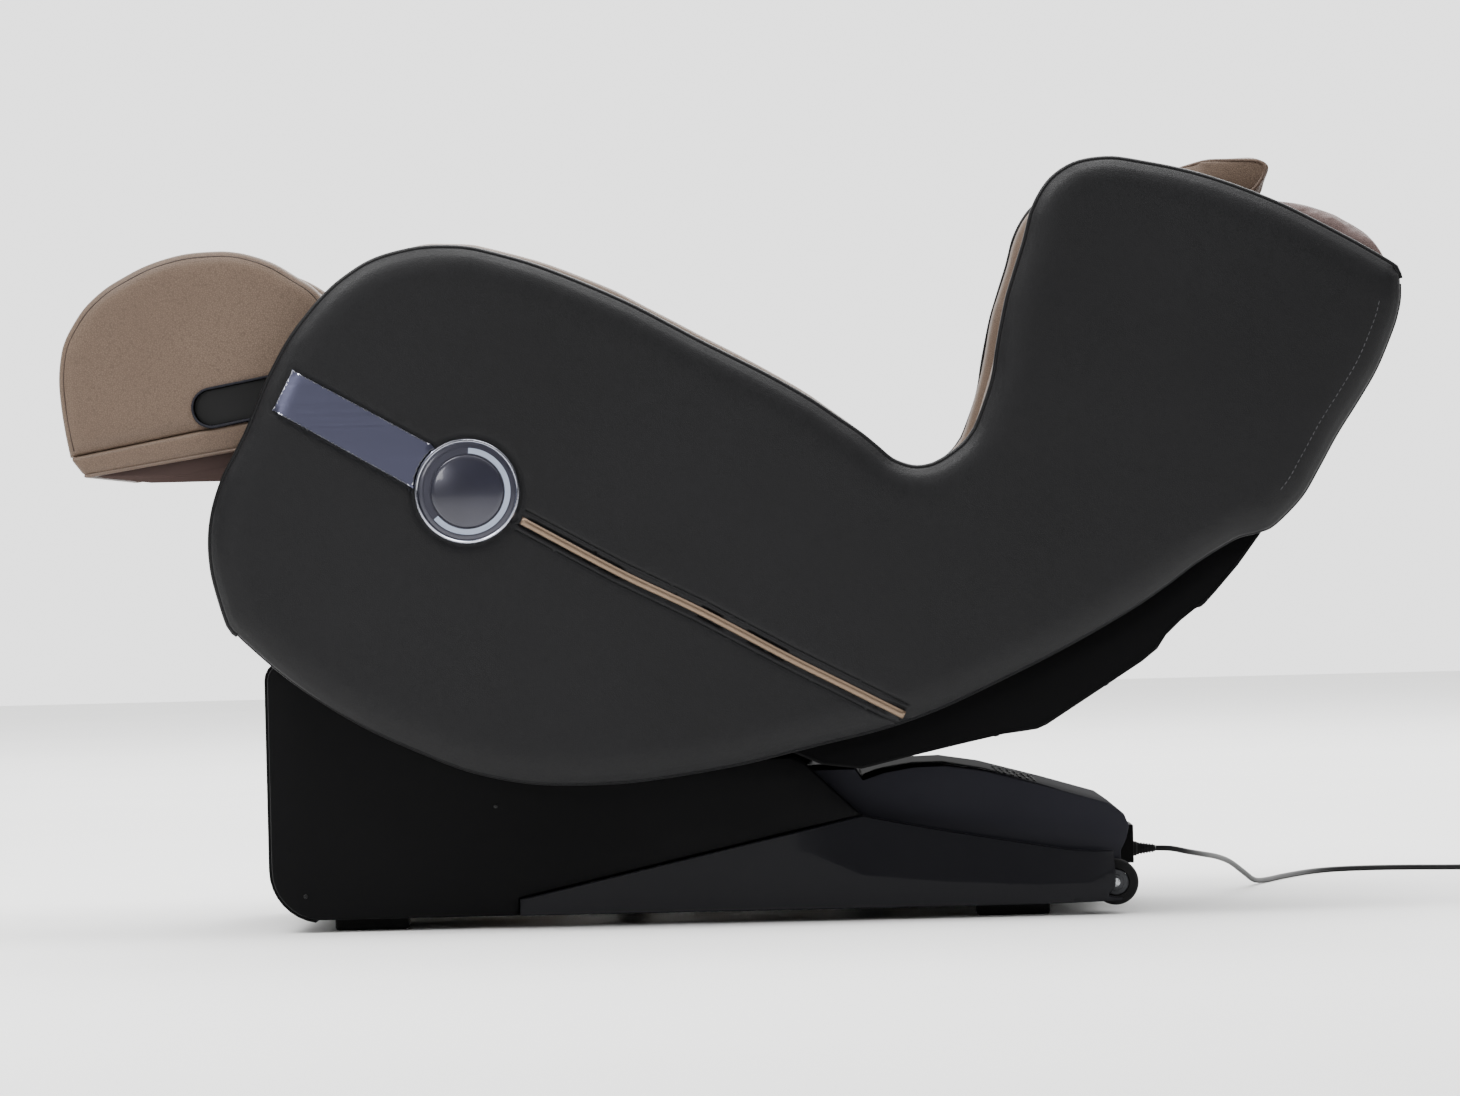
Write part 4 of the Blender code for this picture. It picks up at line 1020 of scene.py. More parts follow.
def side_panel(side, tag):
    piece = relief(
        f"black_side_panel_{tag}", PANEL_LINE, PANEL_RINGS, 0.0105,
        lambda x, z, edge, along: side * panel_depth(x, z, edge, along),
        level(side * PANEL_BACK, -side * 0.003, 0.004), BLACK_LEATHER, 3, PANEL_DETAIL, 60,
    )
    settle(piece, "seat", "black_leather", f"side_panel_{tag}")
    seam_y = side * (PANEL_FACE - PANEL_FALL - 0.0005)
    top = stretch_of(PANEL_LINE, (-0.600, 0.364), (0.810, 0.763))
    cord = tube(
        f"panel_piping_{tag}", [(x, seam_y, z) for x, z in top], PIPING_R, PIPING_LEATHER, 12, (0, 1, 0),
    )
    settle(cord, "seat", "black_leather")
    bottom = stretch_of(PANEL_LINE, (0.806, 0.757), (-0.602, 0.367))
    fold = tube(
        f"panel_seam_{tag}", [(x, side * (PANEL_FACE - PANEL_FALL + 0.0002), z) for x, z in bottom], 0.0012,
        PIPING_LEATHER, 8, (0, 1, 0),
    )
    settle(fold, "seat", "black_leather")
    rear = stretch_of(PANEL_LINE, (0.808, 0.752), (0.675, 0.500))
    seam = (rear + square_to(np.gradient(rear, axis=0)) * 0.026)[3:]
    edge, along = to_line(seam, PANEL_LINE)
    depth = panel_depth(seam[:, 0], seam[:, 1], edge, along) + 0.0002
    sewn_line = [(x, side * y, z) for (x, z), y in zip(seam, depth)]
    settle(sewn(f"wing_stitches_{tag}", [sewn_line], DARK_THREAD, 0.0075, 0.0005), "seat", "black_leather")


for side, tag in SIDES:
    side_panel(side, tag)

# ---- arm and wing liners -----------------------------------------------------
# Softer beige pads sewn behind the panels. Their top stands a little over the piping, with the
# small cross wrinkles that foam gives a tightly turned edge. They face the sitter.

LINER_LINE = evened(outline_of("arm_liner_left", -1), 0.008)
LINER_IN, LINER_OUT = depths_of("arm_liner_left")
LINER_RINGS = (0.0015, 0.004, 0.0075, 0.012, 0.018, 0.025, 0.034, 0.052, 0.057, 0.060, 0.063, 0.068)


def liner_wrinkles(x, edge, along):
    """The small cross wrinkles along the pad's turned edge."""
    ripple = np.sin(along / 0.0052 + 1.7 * np.sin(along / 0.031))
    ripple *= 0.5 + 0.5 * np.sin(along / 0.083 + x * 4)
    return valley(edge - 0.008, 0.00045, 0.009) * ripple


def arm_liner(side, tag):
    def inner(x, z, edge, along):
        swell = 0.0015 * np.sin(x * 9 + 0.4) * np.sin(z * 8)
        channel = 0.0035 * np.exp(-((edge - 0.060) / 0.0035) ** 2)
        fall = 0.020 * rounded(edge, 0.034) + channel - liner_wrinkles(x, edge, along)
        fall -= 0.001 + swell * (edge > 0.05)
        return side * (LINER_IN + np.maximum(fall, 0))

    def outer(x, z, edge, along):
        wrinkle = np.minimum(liner_wrinkles(x, edge, along), 0)
        return side * (LINER_OUT - 0.009 * rounded(edge, 0.013) + wrinkle)

    piece = relief(
        f"beige_liner_{tag}", LINER_LINE, LINER_RINGS, 0.016, outer, inner, BEIGE_LEATHER, 3, (), 70,
        belly=0.0012,
    )
    settle(piece, "seat", "beige_leather", f"arm_liner_{tag}")


for side, tag in SIDES:
    arm_liner(side, tag)

# ---- trim on the side panels -------------------------------------------------
# A die-cast blade with a dark chrome face and a polished rim, a round dial with a chrome bezel,
# a smoked dome and a lit arc, and an extruded champagne anodised strip let into the leather.

TRIM_LEAN = (0, math.radians(-28), 0)


def chrome(name, colour, roughness):
    """Smoked chrome plate: a mirror that is a little hazy, with faint lengthwise polishing marks."""
    look, tree, shader, place = finish(name, {"Base Color": linear(colour), "Metallic": 1.0})
    run = add(tree, "ShaderNodeMapping", {"Rotation": TRIM_LEAN, "Scale": (4, 60, 700)}, {"Vector": place})
    glossed(tree, shader, noise(tree, run.outputs["Vector"], 1.0, 2.0), roughness * 0.8, roughness * 1.3)
    return look


def smoked(name, colour, roughness, coat):
    """Tinted acrylic lens over a dark printed back: glossy, with a soft cloudy depth."""
    look, tree, shader, place = finish(name, {
        "Roughness": roughness, "Metallic": 0.35, "Coat Weight": coat, "Coat Roughness": 0.05, "IOR": 1.49,
    })
    toned(tree, shader, noise(tree, place, 0.05, 1.0), colour, "33333f")
    return look


def light_pipe():
    """Frosted light guide: milky blue-white, glowing gently."""
    look, tree, shader, place = finish("frosted_light_guide", {
        "Base Color": linear("8a93a5"), "Roughness": 0.35,
        "Emission Color": linear("a9b6cc"), "Emission Strength": 0.1,
    })
    bumped(tree, shader, noise(tree, place, 0.0015, 2.0), 0.15, 0.0001)
    return look


BLADE_CHROME = chrome("smoked_chrome", "4f5062", 0.32)
RIM_CHROME = chrome("polished_chrome", "c4c6d2", 0.14)
DIAL_SMOKE = smoked("smoked_acrylic", "30303a", 0.3, 0.3)
DOME_SMOKE = smoked("smoked_dome", "23232c", 0.22, 0.3)
LIGHT_GUIDE = light_pipe()


def anodised():
    """Champagne anodised aluminium, brushed along the strip before it was dyed."""
    look, tree, shader, place = finish("champagne_anodised_aluminium", {"Metallic": 0.85})
    run = add(tree, "ShaderNodeMapping", {"Rotation": TRIM_LEAN, "Scale": (8, 300, 1600)}, {"Vector": place})
    grain = noise(tree, run.outputs["Vector"], 1.0, 3.0)
    toned(tree, shader, grain, "6f5e4e", "826f5e")
    glossed(tree, shader, grain, 0.28, 0.42)
    return look


CHAMPAGNE = anodised()
BLADE_HEIGHT = 0.0052
DIAL_STEPS = 96


def blade(side, tag):
    """The blade follows the panel down at its tip, with a polished chamfer round its field."""
    def seat_depth(x, z):
        spots = np.stack((x, z), 1)
        return PANEL_FACE - PANEL_FALL * rounded(to_line(spots, PANEL_LINE)[0], PANEL_ROUND)

    def outer(x, z, edge, along):
        rim = np.clip(edge / 0.0009, 0, 1) ** 0.5
        return side * (seat_depth(x, z) + BLADE_HEIGHT * (0.62 + 0.38 * rim))

    piece = relief(
        f"smoked_blade_{tag}", BLADE_LINE, (0.0004, 0.0009, 0.0016, 0.0026), 0.006, outer,
        lambda x, z, edge, along: side * (seat_depth(x, z) - 0.004), BLADE_CHROME, 1, (), 50,
    )
    piece.data.materials.append(RIM_CHROME)
    centres = np.array([face.center[:] for face in piece.data.polygons])
    edge = to_line(centres[:, [0, 2]], BLADE_LINE)[0]
    for face, gap in zip(piece.data.polygons, edge):
        face.material_index = 1 if gap < 0.0015 else 0
    settle(piece, "seat", "dark_chrome", f"chrome_blade_{tag}")


def arc_bar(name, inner, outer, low, high, start, end, steps, place, look):
    """A flat bar bent to an arc about a dial's centre, its ends square and its top edges eased."""
    section = [
        (inner, low), (outer, low), (outer, high - 0.0002), (outer - 0.0003, high), (inner + 0.0003, high),
        (inner, high - 0.0002),
    ]
    bm = bmesh.new()
    rows = []
    for k in range(steps + 1):
        a = math.radians(start + (end - start) * k / steps)
        rows.append([bm.verts.new((r * math.cos(a), r * math.sin(a), h)) for r, h in section])
    bridged(bm, rows)
    bm.faces.new(rows[0])
    bm.faces.new(rows[-1][::-1])
    bmesh.ops.transform(bm, matrix=place, verts=bm.verts)
    bmesh.ops.recalc_face_normals(bm, faces=bm.faces)
    return meshed(name, bm, look, 30)


def dial(side, tag):
    low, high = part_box(f"dial_bezel_{tag}")
    base = low.y if side > 0 else high.y
    centre, out = ((low.x + high.x) / 2, base, (low.z + high.z) / 2), (0, side, 0)
    bezel = [
        (0.0640, -0.0010), (0.0640, 0.0042), (0.0634, 0.0064), (0.0622, 0.0076), (0.0608, 0.0077),
        (0.0597, 0.0068), (0.0590, 0.0052), (0.0588, 0.0034), (0.0588, -0.0010),
    ]
    ring = spun(f"chrome_bezel_{tag}", bezel, centre, out, RIM_CHROME, DIAL_STEPS)
    settle(ring, "seat", "dark_chrome", f"dial_bezel_{tag}")
    disc = [
        (0.0587, -0.0008), (0.0587, 0.0036), (0.0580, 0.0040), (0.0530, 0.0040), (0.0527, 0.0034),
        (0.0454, 0.0034), (0.0451, 0.0028), (0.0440, 0.0028), (0.0440, -0.0008),
    ]
    face = spun(f"dial_ring_{tag}", disc, centre, out, DIAL_SMOKE, DIAL_STEPS)
    settle(face, "seat", "dial_glass", f"dial_face_{tag}")
    dome = [(0.0439, -0.0008), (0.0439, 0.0026), (0.0434, 0.0036), (0.0420, 0.0042)]
    radii = (0.038, 0.034, 0.029, 0.024, 0.019, 0.014, 0.009, 0.004)
    dome += [(r, 0.0042 + 0.0034 * (1 - (r / 0.042) ** 2)) for r in radii]
    dome += [(0.0, 0.0076), (0.0, -0.0008)]
    settle(spun(f"dial_dome_{tag}", dome, centre, out, DOME_SMOKE, DIAL_STEPS, 50), "seat", "dial_glass")
    upright = Matrix(((1, 0, 0), (0, 0, side), (0, 1, 0))).to_4x4()
    place = Matrix.Translation(centre) @ upright
    guide = arc_bar(f"light_arc_{tag}", 0.0457, 0.0524, 0.0030, 0.0041, 87, -141, 76, place, LIGHT_GUIDE)
    settle(guide, "seat", "dial_glass")


def stripe(side, tag):
    """Extruded strip with a crowned face, following the leather."""
    line = evened(outline_of(f"champagne_stripe_{tag}", side), 0.006, 30)
    piece = relief(
        f"champagne_strip_{tag}", line, (0.0004, 0.001, 0.002, 0.0035), 0.004,
        level(side * (PANEL_FACE + 0.0026), side * 0.0022, 0.0045), level(side * (PANEL_FACE - 0.003)),
        CHAMPAGNE, 1, (), 50,
    )
    settle(piece, "seat", "champagne_trim", f"champagne_stripe_{tag}")


for side, tag in SIDES:
    blade(side, tag)
    dial(side, tag)
    stripe(side, tag)

# ---- cushions ----------------------------------------------------------------
# Foam in sewn leather covers. Each cover is blown up a little over its foam by a cloth
# simulation, then its sewn channels are pulled down and stitched.

SEAT_HALF = max(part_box("seat_cushion")[1].y, 0.2)


def applied(piece):
    """Makes a piece's modifiers part of its mesh."""
    graph = bpy.context.evaluated_depsgraph_get()
    mesh = bpy.data.meshes.new_from_object(piece.evaluated_get(graph), depsgraph=graph)
    piece.modifiers.clear()
    piece.data = mesh
    return piece


def corners_of(mesh):
    places = np.empty(len(mesh.vertices) * 3)
    mesh.vertices.foreach_get("co", places)
    return places.reshape(-1, 3)


def normals_of(mesh):
    ways = np.empty(len(mesh.vertices) * 3, np.float32)
    mesh.vertex_normals.foreach_get("vector", ways)
    return ways.reshape(-1, 3).astype(float)


def moved_to(mesh, places):
    mesh.vertices.foreach_set("co", places.ravel())
    mesh.update()


def plumped(name, node, look, voxel, inset, cap, pressure=4.0, eased=8, half_width=None):
    """A CAD cushion skinned evenly, eased at its corners, drawn in and blown up again as cloth."""
    bm = merged(node)
    bmesh.ops.triangulate(bm, faces=bm.faces)
    piece = meshed(name, bm, look)
    skin = piece.modifiers.new("skin", "REMESH")
    skin.mode = "VOXEL"
    skin.voxel_size = voxel
    applied(piece)
    bm = bmesh.new()
    bm.from_mesh(piece.data)
    for _ in range(eased):
        bmesh.ops.smooth_vert(
            bm, verts=bm.verts, factor=0.5, use_axis_x=True, use_axis_y=True, use_axis_z=True,
        )
    bm.to_mesh(piece.data)
    bm.free()
    start = corners_of(piece.data) - normals_of(piece.data) * inset
    moved_to(piece.data, start)
    cloth = piece.modifiers.new("cover", "CLOTH")
    cloth.settings.use_pressure = True
    cloth.settings.uniform_pressure_force = pressure
    cloth.settings.effector_weights.gravity = 0
    cloth.settings.quality = 4
    cloth.collision_settings.use_collision = False
    for number in range(1, 21):
        bpy.context.scene.frame_set(number)
    applied(piece)
    bpy.context.scene.frame_set(1)
    swelled = corners_of(piece.data)
    move = swelled - start
    size = np.linalg.norm(move, axis=1)[:, None]
    moved_to(piece.data, start + move * np.minimum(1, cap / np.maximum(size, 1e-9)))
    fine = piece.modifiers.new("fine", "SUBSURF")
    fine.levels = fine.render_levels = 1
    applied(piece)
    if half_width:
        places = corners_of(piece.data)
        places[:, 1] = np.clip(places[:, 1], -half_width, half_width)
        moved_to(piece.data, places)
    piece.data.shade_smooth()
    piece.data.materials.clear()
    piece.data.materials.append(look)
    return piece


def pressed(piece, depth):
    """Pulls a cushion's surface in along its normals, by a depth for each point and its normal."""
    places, ways = corners_of(piece.data), normals_of(piece.data)
    moved_to(piece.data, places - ways * depth(places, ways)[:, None])
    return piece


def surface_of(piece):
    """A piece's surface, to drop points on."""
    mesh = piece.data
    return BVHTree.FromPolygons([v.co for v in mesh.vertices], [tuple(f.vertices) for f in mesh.polygons])


def laid_on(piece, points, direction, lift=0.0003):
    """The points dropped in a direction onto a piece's surface."""
    tree = surface_of(piece)
    way = Vector(direction).normalized()
    landed = []
    for point in points:
        hit = tree.ray_cast(Vector(point) - way * 0.3, way, 0.6)[0]
        if hit is not None:
            landed.append(hit - way * lift)
    return landed


SEAT_RUN = np.array((0.872, 0, -0.4896))
SEAT_UP = np.array((0.4896, 0, 0.872))
SEAT_BOLSTER = 0.168
SEAT_CHANNEL = 0.078


def beside_seams(seam, gap=0.009):
    """World Y of the stitches on both sides of a pair of lengthwise seams."""
    return [middle + off for middle in (-seam, seam) for off in (-gap, gap)]


def seat_valleys(places, ways):
    along = (places - np.array((-0.45, 0, 0.73))) @ SEAT_RUN
    facing = np.clip(ways @ SEAT_UP * 1.6, 0, 1)
    beside = np.abs(np.abs(places[:, 1]) - SEAT_BOLSTER)
    inside = 1 / (1 + np.exp((np.abs(places[:, 1]) - SEAT_BOLSTER + 0.004) / 0.003))
    across = np.abs((along - 0.060 + SEAT_CHANNEL / 2) % SEAT_CHANNEL - SEAT_CHANNEL / 2)
    cut = valley(beside, 0.009, 0.006) + valley(across, 0.006, 0.006) * inside
    gather = valley(across, 0.0007, 0.014) * np.sin(places[:, 1] / 0.0045 + 2 * np.sin(along / 0.02)) * inside
    return (cut + gather) * facing


seat = plumped(
    "seat_cushion_cover", "seat_cushion", BEIGE_LEATHER, 0.0075, 0.007, 0.012, half_width=SEAT_HALF,
)
pressed(seat, seat_valleys)
settle(seat, "seat", "beige_leather", "seat_cushion")
lines = []
for y in beside_seams(SEAT_BOLSTER):
    spots = [(-0.43 + 0.53 * k / 60, y, 0.735 - 0.30 * k / 60) for k in range(61)]
    lines.append(laid_on(seat, spots, -SEAT_UP))
settle(sewn("seat_stitches", lines, BEIGE_THREAD), "seat", "beige_leather")

BACK_UP = np.array((math.cos(math.radians(40)), 0, math.sin(math.radians(40))))
BACK_OUT = np.array((-BACK_UP[2], 0, BACK_UP[0]))
BACK_FOOT = np.array((0.100, 0, 0.410))
BACK_SEAM = 0.125
BACK_CHANNEL = 0.088


def back_valleys(places, ways):
    up = (places - BACK_FOOT) @ BACK_UP
    facing = np.clip(ways @ BACK_OUT * 1.6, 0, 1)
    beside = np.abs(np.abs(places[:, 1]) - BACK_SEAM)
    spine = np.abs(np.abs(places[:, 1]) - 0.030)
    outside = 1 / (1 + np.exp((BACK_SEAM + 0.004 - np.abs(places[:, 1])) / 0.003))
    across = np.abs((up - 0.02 + np.abs(places[:, 1]) * 0.35) % BACK_CHANNEL - BACK_CHANNEL / 2)
    cut = valley(beside, 0.008, 0.006) + valley(spine, 0.0025, 0.005) + valley(across, 0.006, 0.006) * outside
    return cut * facing


back = plumped(
    "back_cushion_cover", "back_cushion", BEIGE_LEATHER, 0.0075, 0.007, 0.010, half_width=SEAT_HALF,
)
pressed(back, back_valleys)
settle(back, "seat", "beige_leather", "back_cushion")
lines = []
for y in beside_seams(BACK_SEAM):
    spots = [BACK_FOOT + BACK_UP * (0.06 + 0.36 * k / 60) + np.array((0, y, 0)) for k in range(61)]
    lines.append(laid_on(back, spots, -BACK_OUT))
settle(sewn("back_stitches", lines, BEIGE_THREAD), "seat", "beige_leather")

# Head pillow: a wedge of soft fill in a beige cover, its end panels piped, with the mauve cap behind it.

PILLOW_LINE = evened(outline_of("head_pillow", -1), 0.008)
PILLOW_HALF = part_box("head_pillow")[1].y


def pillow_valleys(places, ways):
    up = (places - BACK_FOOT) @ BACK_UP
    out = (places - BACK_FOOT) @ BACK_OUT
    facing = np.clip(out / 0.03, 0, 1)
    beside = np.abs(np.abs(places[:, 1]) - 0.105)
    fan = np.sin(places[:, 1] / 0.011 + 3 * np.sin(up / 0.05))
    fan *= valley(PILLOW_HALF - np.abs(places[:, 1]), 0.0008, 0.03)
    return (valley(beside, 0.006, 0.006) + fan) * facing


pillow = plumped("head_pillow_cover", "head_pillow", BEIGE_LEATHER, 0.006, 0.003, 0.007, 4.5, 2)
pressed(pillow, pillow_valleys)
settle(pillow, "seat", "beige_leather", "head_pillow")
cap = plumped("head_cap_cover", "head_cap", MAUVE_LEATHER, 0.006, 0.003, 0.006, 3.0, 5, SEAT_HALF)
settle(cap, "seat", "mauve_leather", "head_cap")


def hugging(piece, line, y, reach, inset):
    """A loop of points at a fixed Y that lies on a piece's surface, found from outside towards the middle."""
    tree = surface_of(piece)
    middle = Vector((line[:, 0].mean(), y, line[:, 1].mean()))
    found = []
    for x, z in line:
        outside = middle + (Vector((x, y, z)) - middle) * 1.5
        way = (middle - outside).normalized()
        hit = tree.ray_cast(outside, way, reach)[0]
        found.append((hit if hit is not None else Vector((x, y, z))) + way * inset)
    return found


for side, tag in SIDES:
    y = side * (PILLOW_HALF - 0.010)
    loop = hugging(pillow, PILLOW_LINE, y, 0.5, 0.0006)
    loop = [(loop[i - 1] + loop[i] * 2 + loop[(i + 1) % len(loop)]) / 4 for i in range(len(loop))]
    cord = tube(f"pillow_piping_{tag}", loop + loop[:1], 0.0026, BEIGE_PIPING, 10, (0, 1, 0))
    settle(cord, "seat", "beige_leather")

# ---- leg rest ----------------------------------------------------------------
# Two D-shaped padded walls with a plastic-lined slot for the steel arms, a padded wall between
# the legs, two troughs, and a leather band under them that ends in a moulded mauve pan.

SLOT_AT = (-0.632, 0.644)
SLOT_SLOPE = math.radians(10.2)
SLOT_HALF = 0.024
SLOT_REACH = 0.128
SEAM_SLOPE = math.tan(math.radians(10.3))
WALL_IN, WALL_OUT = depths_of("leg_side_wall_left")
WALL_SPLIT = 0.2801
WALL_RINGS = (0.0012, 0.003, 0.005, 0.0065, 0.008, 0.011, 0.015, 0.020, 0.026)
coated(PAINTED_STEEL, "leg_rest_arms")
WALL_LINE = evened(outline_of("leg_side_wall_left", 1), 0.006)
NOTCHED_LINE = evened(outline_of("leg_side_wall_left", -1), 0.006)
SEAM_LEATHER = leather("umber_seam_leather", "3a302b", "42372f", "2a221e", 0.5, 1.6, 0.2)


def slot_edge(half, reach):
    """The slot's edge (x, z): along its top, round its blind end and back along its foot."""
    ahead = np.array((math.cos(SLOT_SLOPE), math.sin(SLOT_SLOPE)))
    up = np.array((-ahead[1], ahead[0]))
    top = [np.array(SLOT_AT) + ahead * s + up * half for s in np.linspace(reach, 0, 22)]
    turn = [
        np.array(SLOT_AT) + half * (math.cos(a) * ahead + math.sin(a) * up)
        for a in np.radians(np.linspace(98, 262, 16))
    ]
    foot = [np.array(SLOT_AT) + ahead * s - up * half for s in np.linspace(0, reach, 22)]
    return np.array(top + turn + foot)


SLOT_EDGE = slot_edge(SLOT_HALF, 0.16)


def leg_wall(side, tag):
    def outer(x, z, edge, along):
        spots = np.stack((x, z), 1)
        rim = to_line(spots, WALL_LINE)[0]
        slot = to_line(spots, SLOT_EDGE, closed=False)[0]
        face = WALL_OUT - 0.012 * rounded(rim, 0.024) - 0.0025 * rounded(slot, 0.006)
        face -= valley(rim - 0.0065, 0.0012, 0.0018)
        face += valley(rim - 0.014, 0.00025, 0.009) * np.sin(along / 0.012 + 2 * np.sin(along / 0.05))
        return side * face

    piece = relief(
        f"leg_wall_{tag}", NOTCHED_LINE, WALL_RINGS, 0.010, outer, level(side * WALL_SPLIT),
        BEIGE_LEATHER, 2, (), 60,
    )
    settle(piece, "foot_rest", "beige_leather", f"leg_side_wall_{tag}")
    core = relief(
        f"leg_wall_core_{tag}", WALL_LINE, (0.002, 0.005, 0.010), 0.016,
        level(side * (WALL_SPLIT - 0.0002)), level(side * WALL_IN, -side * 0.006, 0.010),
        BEIGE_LEATHER, 2, (), 60, belly=0.0006,
    )
    settle(core, "foot_rest", "beige_leather")
    seam = stretch_of(WALL_LINE, (-0.806, 0.588), (-0.548, 0.634))
    seam = (seam + square_to(np.gradient(seam, axis=0)) * 0.0065)[1:-1]
    fall = 0.012 * rounded(np.full(len(seam), 0.0065), 0.024)[0] + 0.0012
    thread_line = [(x, side * (WALL_OUT - fall + 0.0002), z) for x, z in seam]
    fold = tube(f"wall_seam_{tag}", thread_line, 0.0008, SEAM_LEATHER, 8, (0, 1, 0))
    settle(fold, "foot_rest", "beige_leather")
    tray = relief(
        f"slot_lining_{tag}", evened(slot_edge(SLOT_HALF + 0.0012, SLOT_REACH), 0.004, 30), (0.001,), 0.02,
        level(side * (WALL_SPLIT + 0.0008)), level(side * (WALL_SPLIT + 0.0001)), TEXTURED_ABS, 1,
    )
    settle(tray, "foot_rest", "black_plastic")
    lip_y = side * (WALL_OUT - 0.0022)
    lip_line = [(x, lip_y, z) for x, z in slot_edge(SLOT_HALF - 0.0004, SLOT_REACH)]
    lip = tube(f"slot_lip_{tag}", lip_line, 0.0016, GLOSSY_ABS_PAINTED_TOP_LIGHT, 8, (0, 1, 0))
    settle(lip, "foot_rest", "black_plastic")
    bm = bmesh.new()
    rows = []
    for y in np.linspace(WALL_SPLIT + 0.0008, WALL_OUT - 0.0024, 3):
        rows.append([bm.verts.new((x, side * y, z)) for x, z in slot_edge(SLOT_HALF - 0.0002, SLOT_REACH)])
    for one, two in zip(rows, rows[1:]):
        for i in range(len(one) - 1):
            bm.faces.new((one[i], one[i + 1], two[i + 1], two[i]))
    sleeve = meshed(f"slot_wall_{tag}", bm, TEXTURED_ABS)
    wall = sleeve.modifiers.new("wall", "SOLIDIFY")
    wall.thickness = 0.0012
    wall.offset = 0
    applied(sleeve)
    settle(sleeve, "foot_rest", "black_plastic")


for side, tag in SIDES:
    leg_wall(side, tag)

divider_line = evened(outline_of("leg_divider", 1), 0.007)
divider_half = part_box("leg_divider")[1].y
divider = relief(
    "leg_divider_pad", divider_line, (0.001, 0.003, 0.006, 0.010, 0.015, 0.021), 0.014,
    level(divider_half, 0.012, 0.022), level(-divider_half, -0.012, 0.022), BEIGE_LEATHER, 3, (), 70,
    belly=0.002,
)
settle(divider, "foot_rest", "beige_leather", "leg_divider")


def seam_height(x):
    """Height of the seam plane between the pads and the band at x."""
    return 0.589 + (x + 0.797) * SEAM_SLOPE


def calf_valleys(places, ways):
    facing = np.clip(ways[:, 2] * 1.5, 0, 1)
    across = np.abs((places[:, 0] + 0.71) % 0.052 - 0.026)
    sole = np.clip(ways[:, 0] * 1.5, 0, 1) * valley(np.abs(places[:, 2] - 0.745), 0.004, 0.006)
    return valley(across, 0.005, 0.006) * facing + sole


for side, tag in SIDES:
    low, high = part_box(f"calf_pad_{tag}")
    pad = plumped(f"calf_pad_cover_{tag}", f"calf_pad_{tag}", BEIGE_LEATHER, 0.0065, 0.004, 0.007)
    pressed(pad, calf_valleys)
    places = corners_of(pad.data)
    places[:, 1] = np.clip(places[:, 1], low.y - 0.0005, high.y + 0.0005)
    places[:, 2] = np.maximum(places[:, 2], seam_height(places[:, 0]))
    moved_to(pad.data, places)
    settle(pad, "foot_rest", "beige_leather", f"calf_pad_{tag}")

band = refined("foot_rest_band", BEIGE_LEATHER, "beige_leather", 0.006, 4, 20)
PAN_ABS = moulded("umber_moulded_abs", "3b302e", "453936", 0.6, 1.6, 0.2, shine=0.0)
refined("foot_rest_pan", PAN_ABS, "mauve_leather", 0.004, 3, 20)


WELT_Y = 0.3005


def band_piping():
    """The welt between the band and the pan, round the foot end and along both sides."""
    near = [(-0.562 - 0.040 * k / 6, 0.0300 + 0.0020 * k / 6) for k in range(7)]
    near += [(-0.602 - 0.183 * k / 16, 0.0320 - 0.0055 * k / 16) for k in range(1, 17)]
    loop = [(x, -WELT_Y, seam_height(x) - below) for x, below in near]
    x, _, z = loop[-1]
    for k in range(1, 9):
        a = math.radians(90 * k / 8)
        loop.append((x - 0.003 * math.sin(a), -WELT_Y + 0.010 * (1 - math.cos(a)), z))
    loop += [(p[0], -p[1], p[2]) for p in reversed(loop)]
    return tube("band_piping", loop, 0.0022, BEIGE_PIPING, 10, (0, 0, 1))


settle(band_piping(), "foot_rest", "beige_leather")

# ---- mains lead --------------------------------------------------------------
# A round 7 mm flexible lead, 1.8 m long, sheathed in black PVC. It leaves the inlet through a
# ribbed rubber sleeve, runs along the floor, and what is left is coiled and tied with its plug.

CORD_D = 0.007
LAYER = 0.0073
ROUTE = [
    (0.5153, -0.0250, 0.0690), (0.5350, -0.0240, 0.0680), (0.5560, -0.0100, 0.0630), (0.5790, 0.0350, 0.0570),
    (0.6000, 0.1100, 0.0500), (0.6220, 0.1950, 0.0390), (0.6450, 0.2800, 0.0210), (0.6640, 0.3560, 0.0065),
    (0.6850, 0.4200, 0.0036), (0.7060, 0.4850, 0.0036), (0.7330, 0.5560, 0.0036), (0.7620, 0.6180, 0.0036),
    (0.7970, 0.6560, 0.0036), (0.8450, 0.6700, 0.0036), (0.8950, 0.6600, 0.0036), (0.9400, 0.6400, 0.0036),
    (0.9750, 0.6300, 0.0036), (1.0070, 0.6290, 0.0036),
]
COIL_MID_R = 0.0385
TURN_OUT, TURN_IN = 0.0421, 0.0349
COIL_AT = (ROUTE[-1][0] + 0.0303, ROUTE[-1][1] + COIL_MID_R)
PVC_SHEATH = moulded("pvc_sheath", "0a0a0b", "121213", 0.42, 2.0, 0.12)
SLEEVE_RUBBER = moulded("sleeve_rubber", "0b0b0c", "141415", 0.6, 1.2, 0.3)


def smooth_run(points, pieces):
    """Points on a smooth curve through a route's own points."""
    ends = [points[0], *points, points[-1]]
    line = []
    for i in range(1, len(ends) - 2):
        four = [Vector(p) for p in ends[i - 1:i + 3]]
        line += [spline(*four, k / pieces) for k in range(pieces)]
    return line + [Vector(points[-1])]


def eased(t, start, end):
    """0 up to start, 1 from end on, and a smooth rise between."""
    t = min(max((t - start) / (end - start), 0), 1)
    return t * t * (3 - 2 * t)


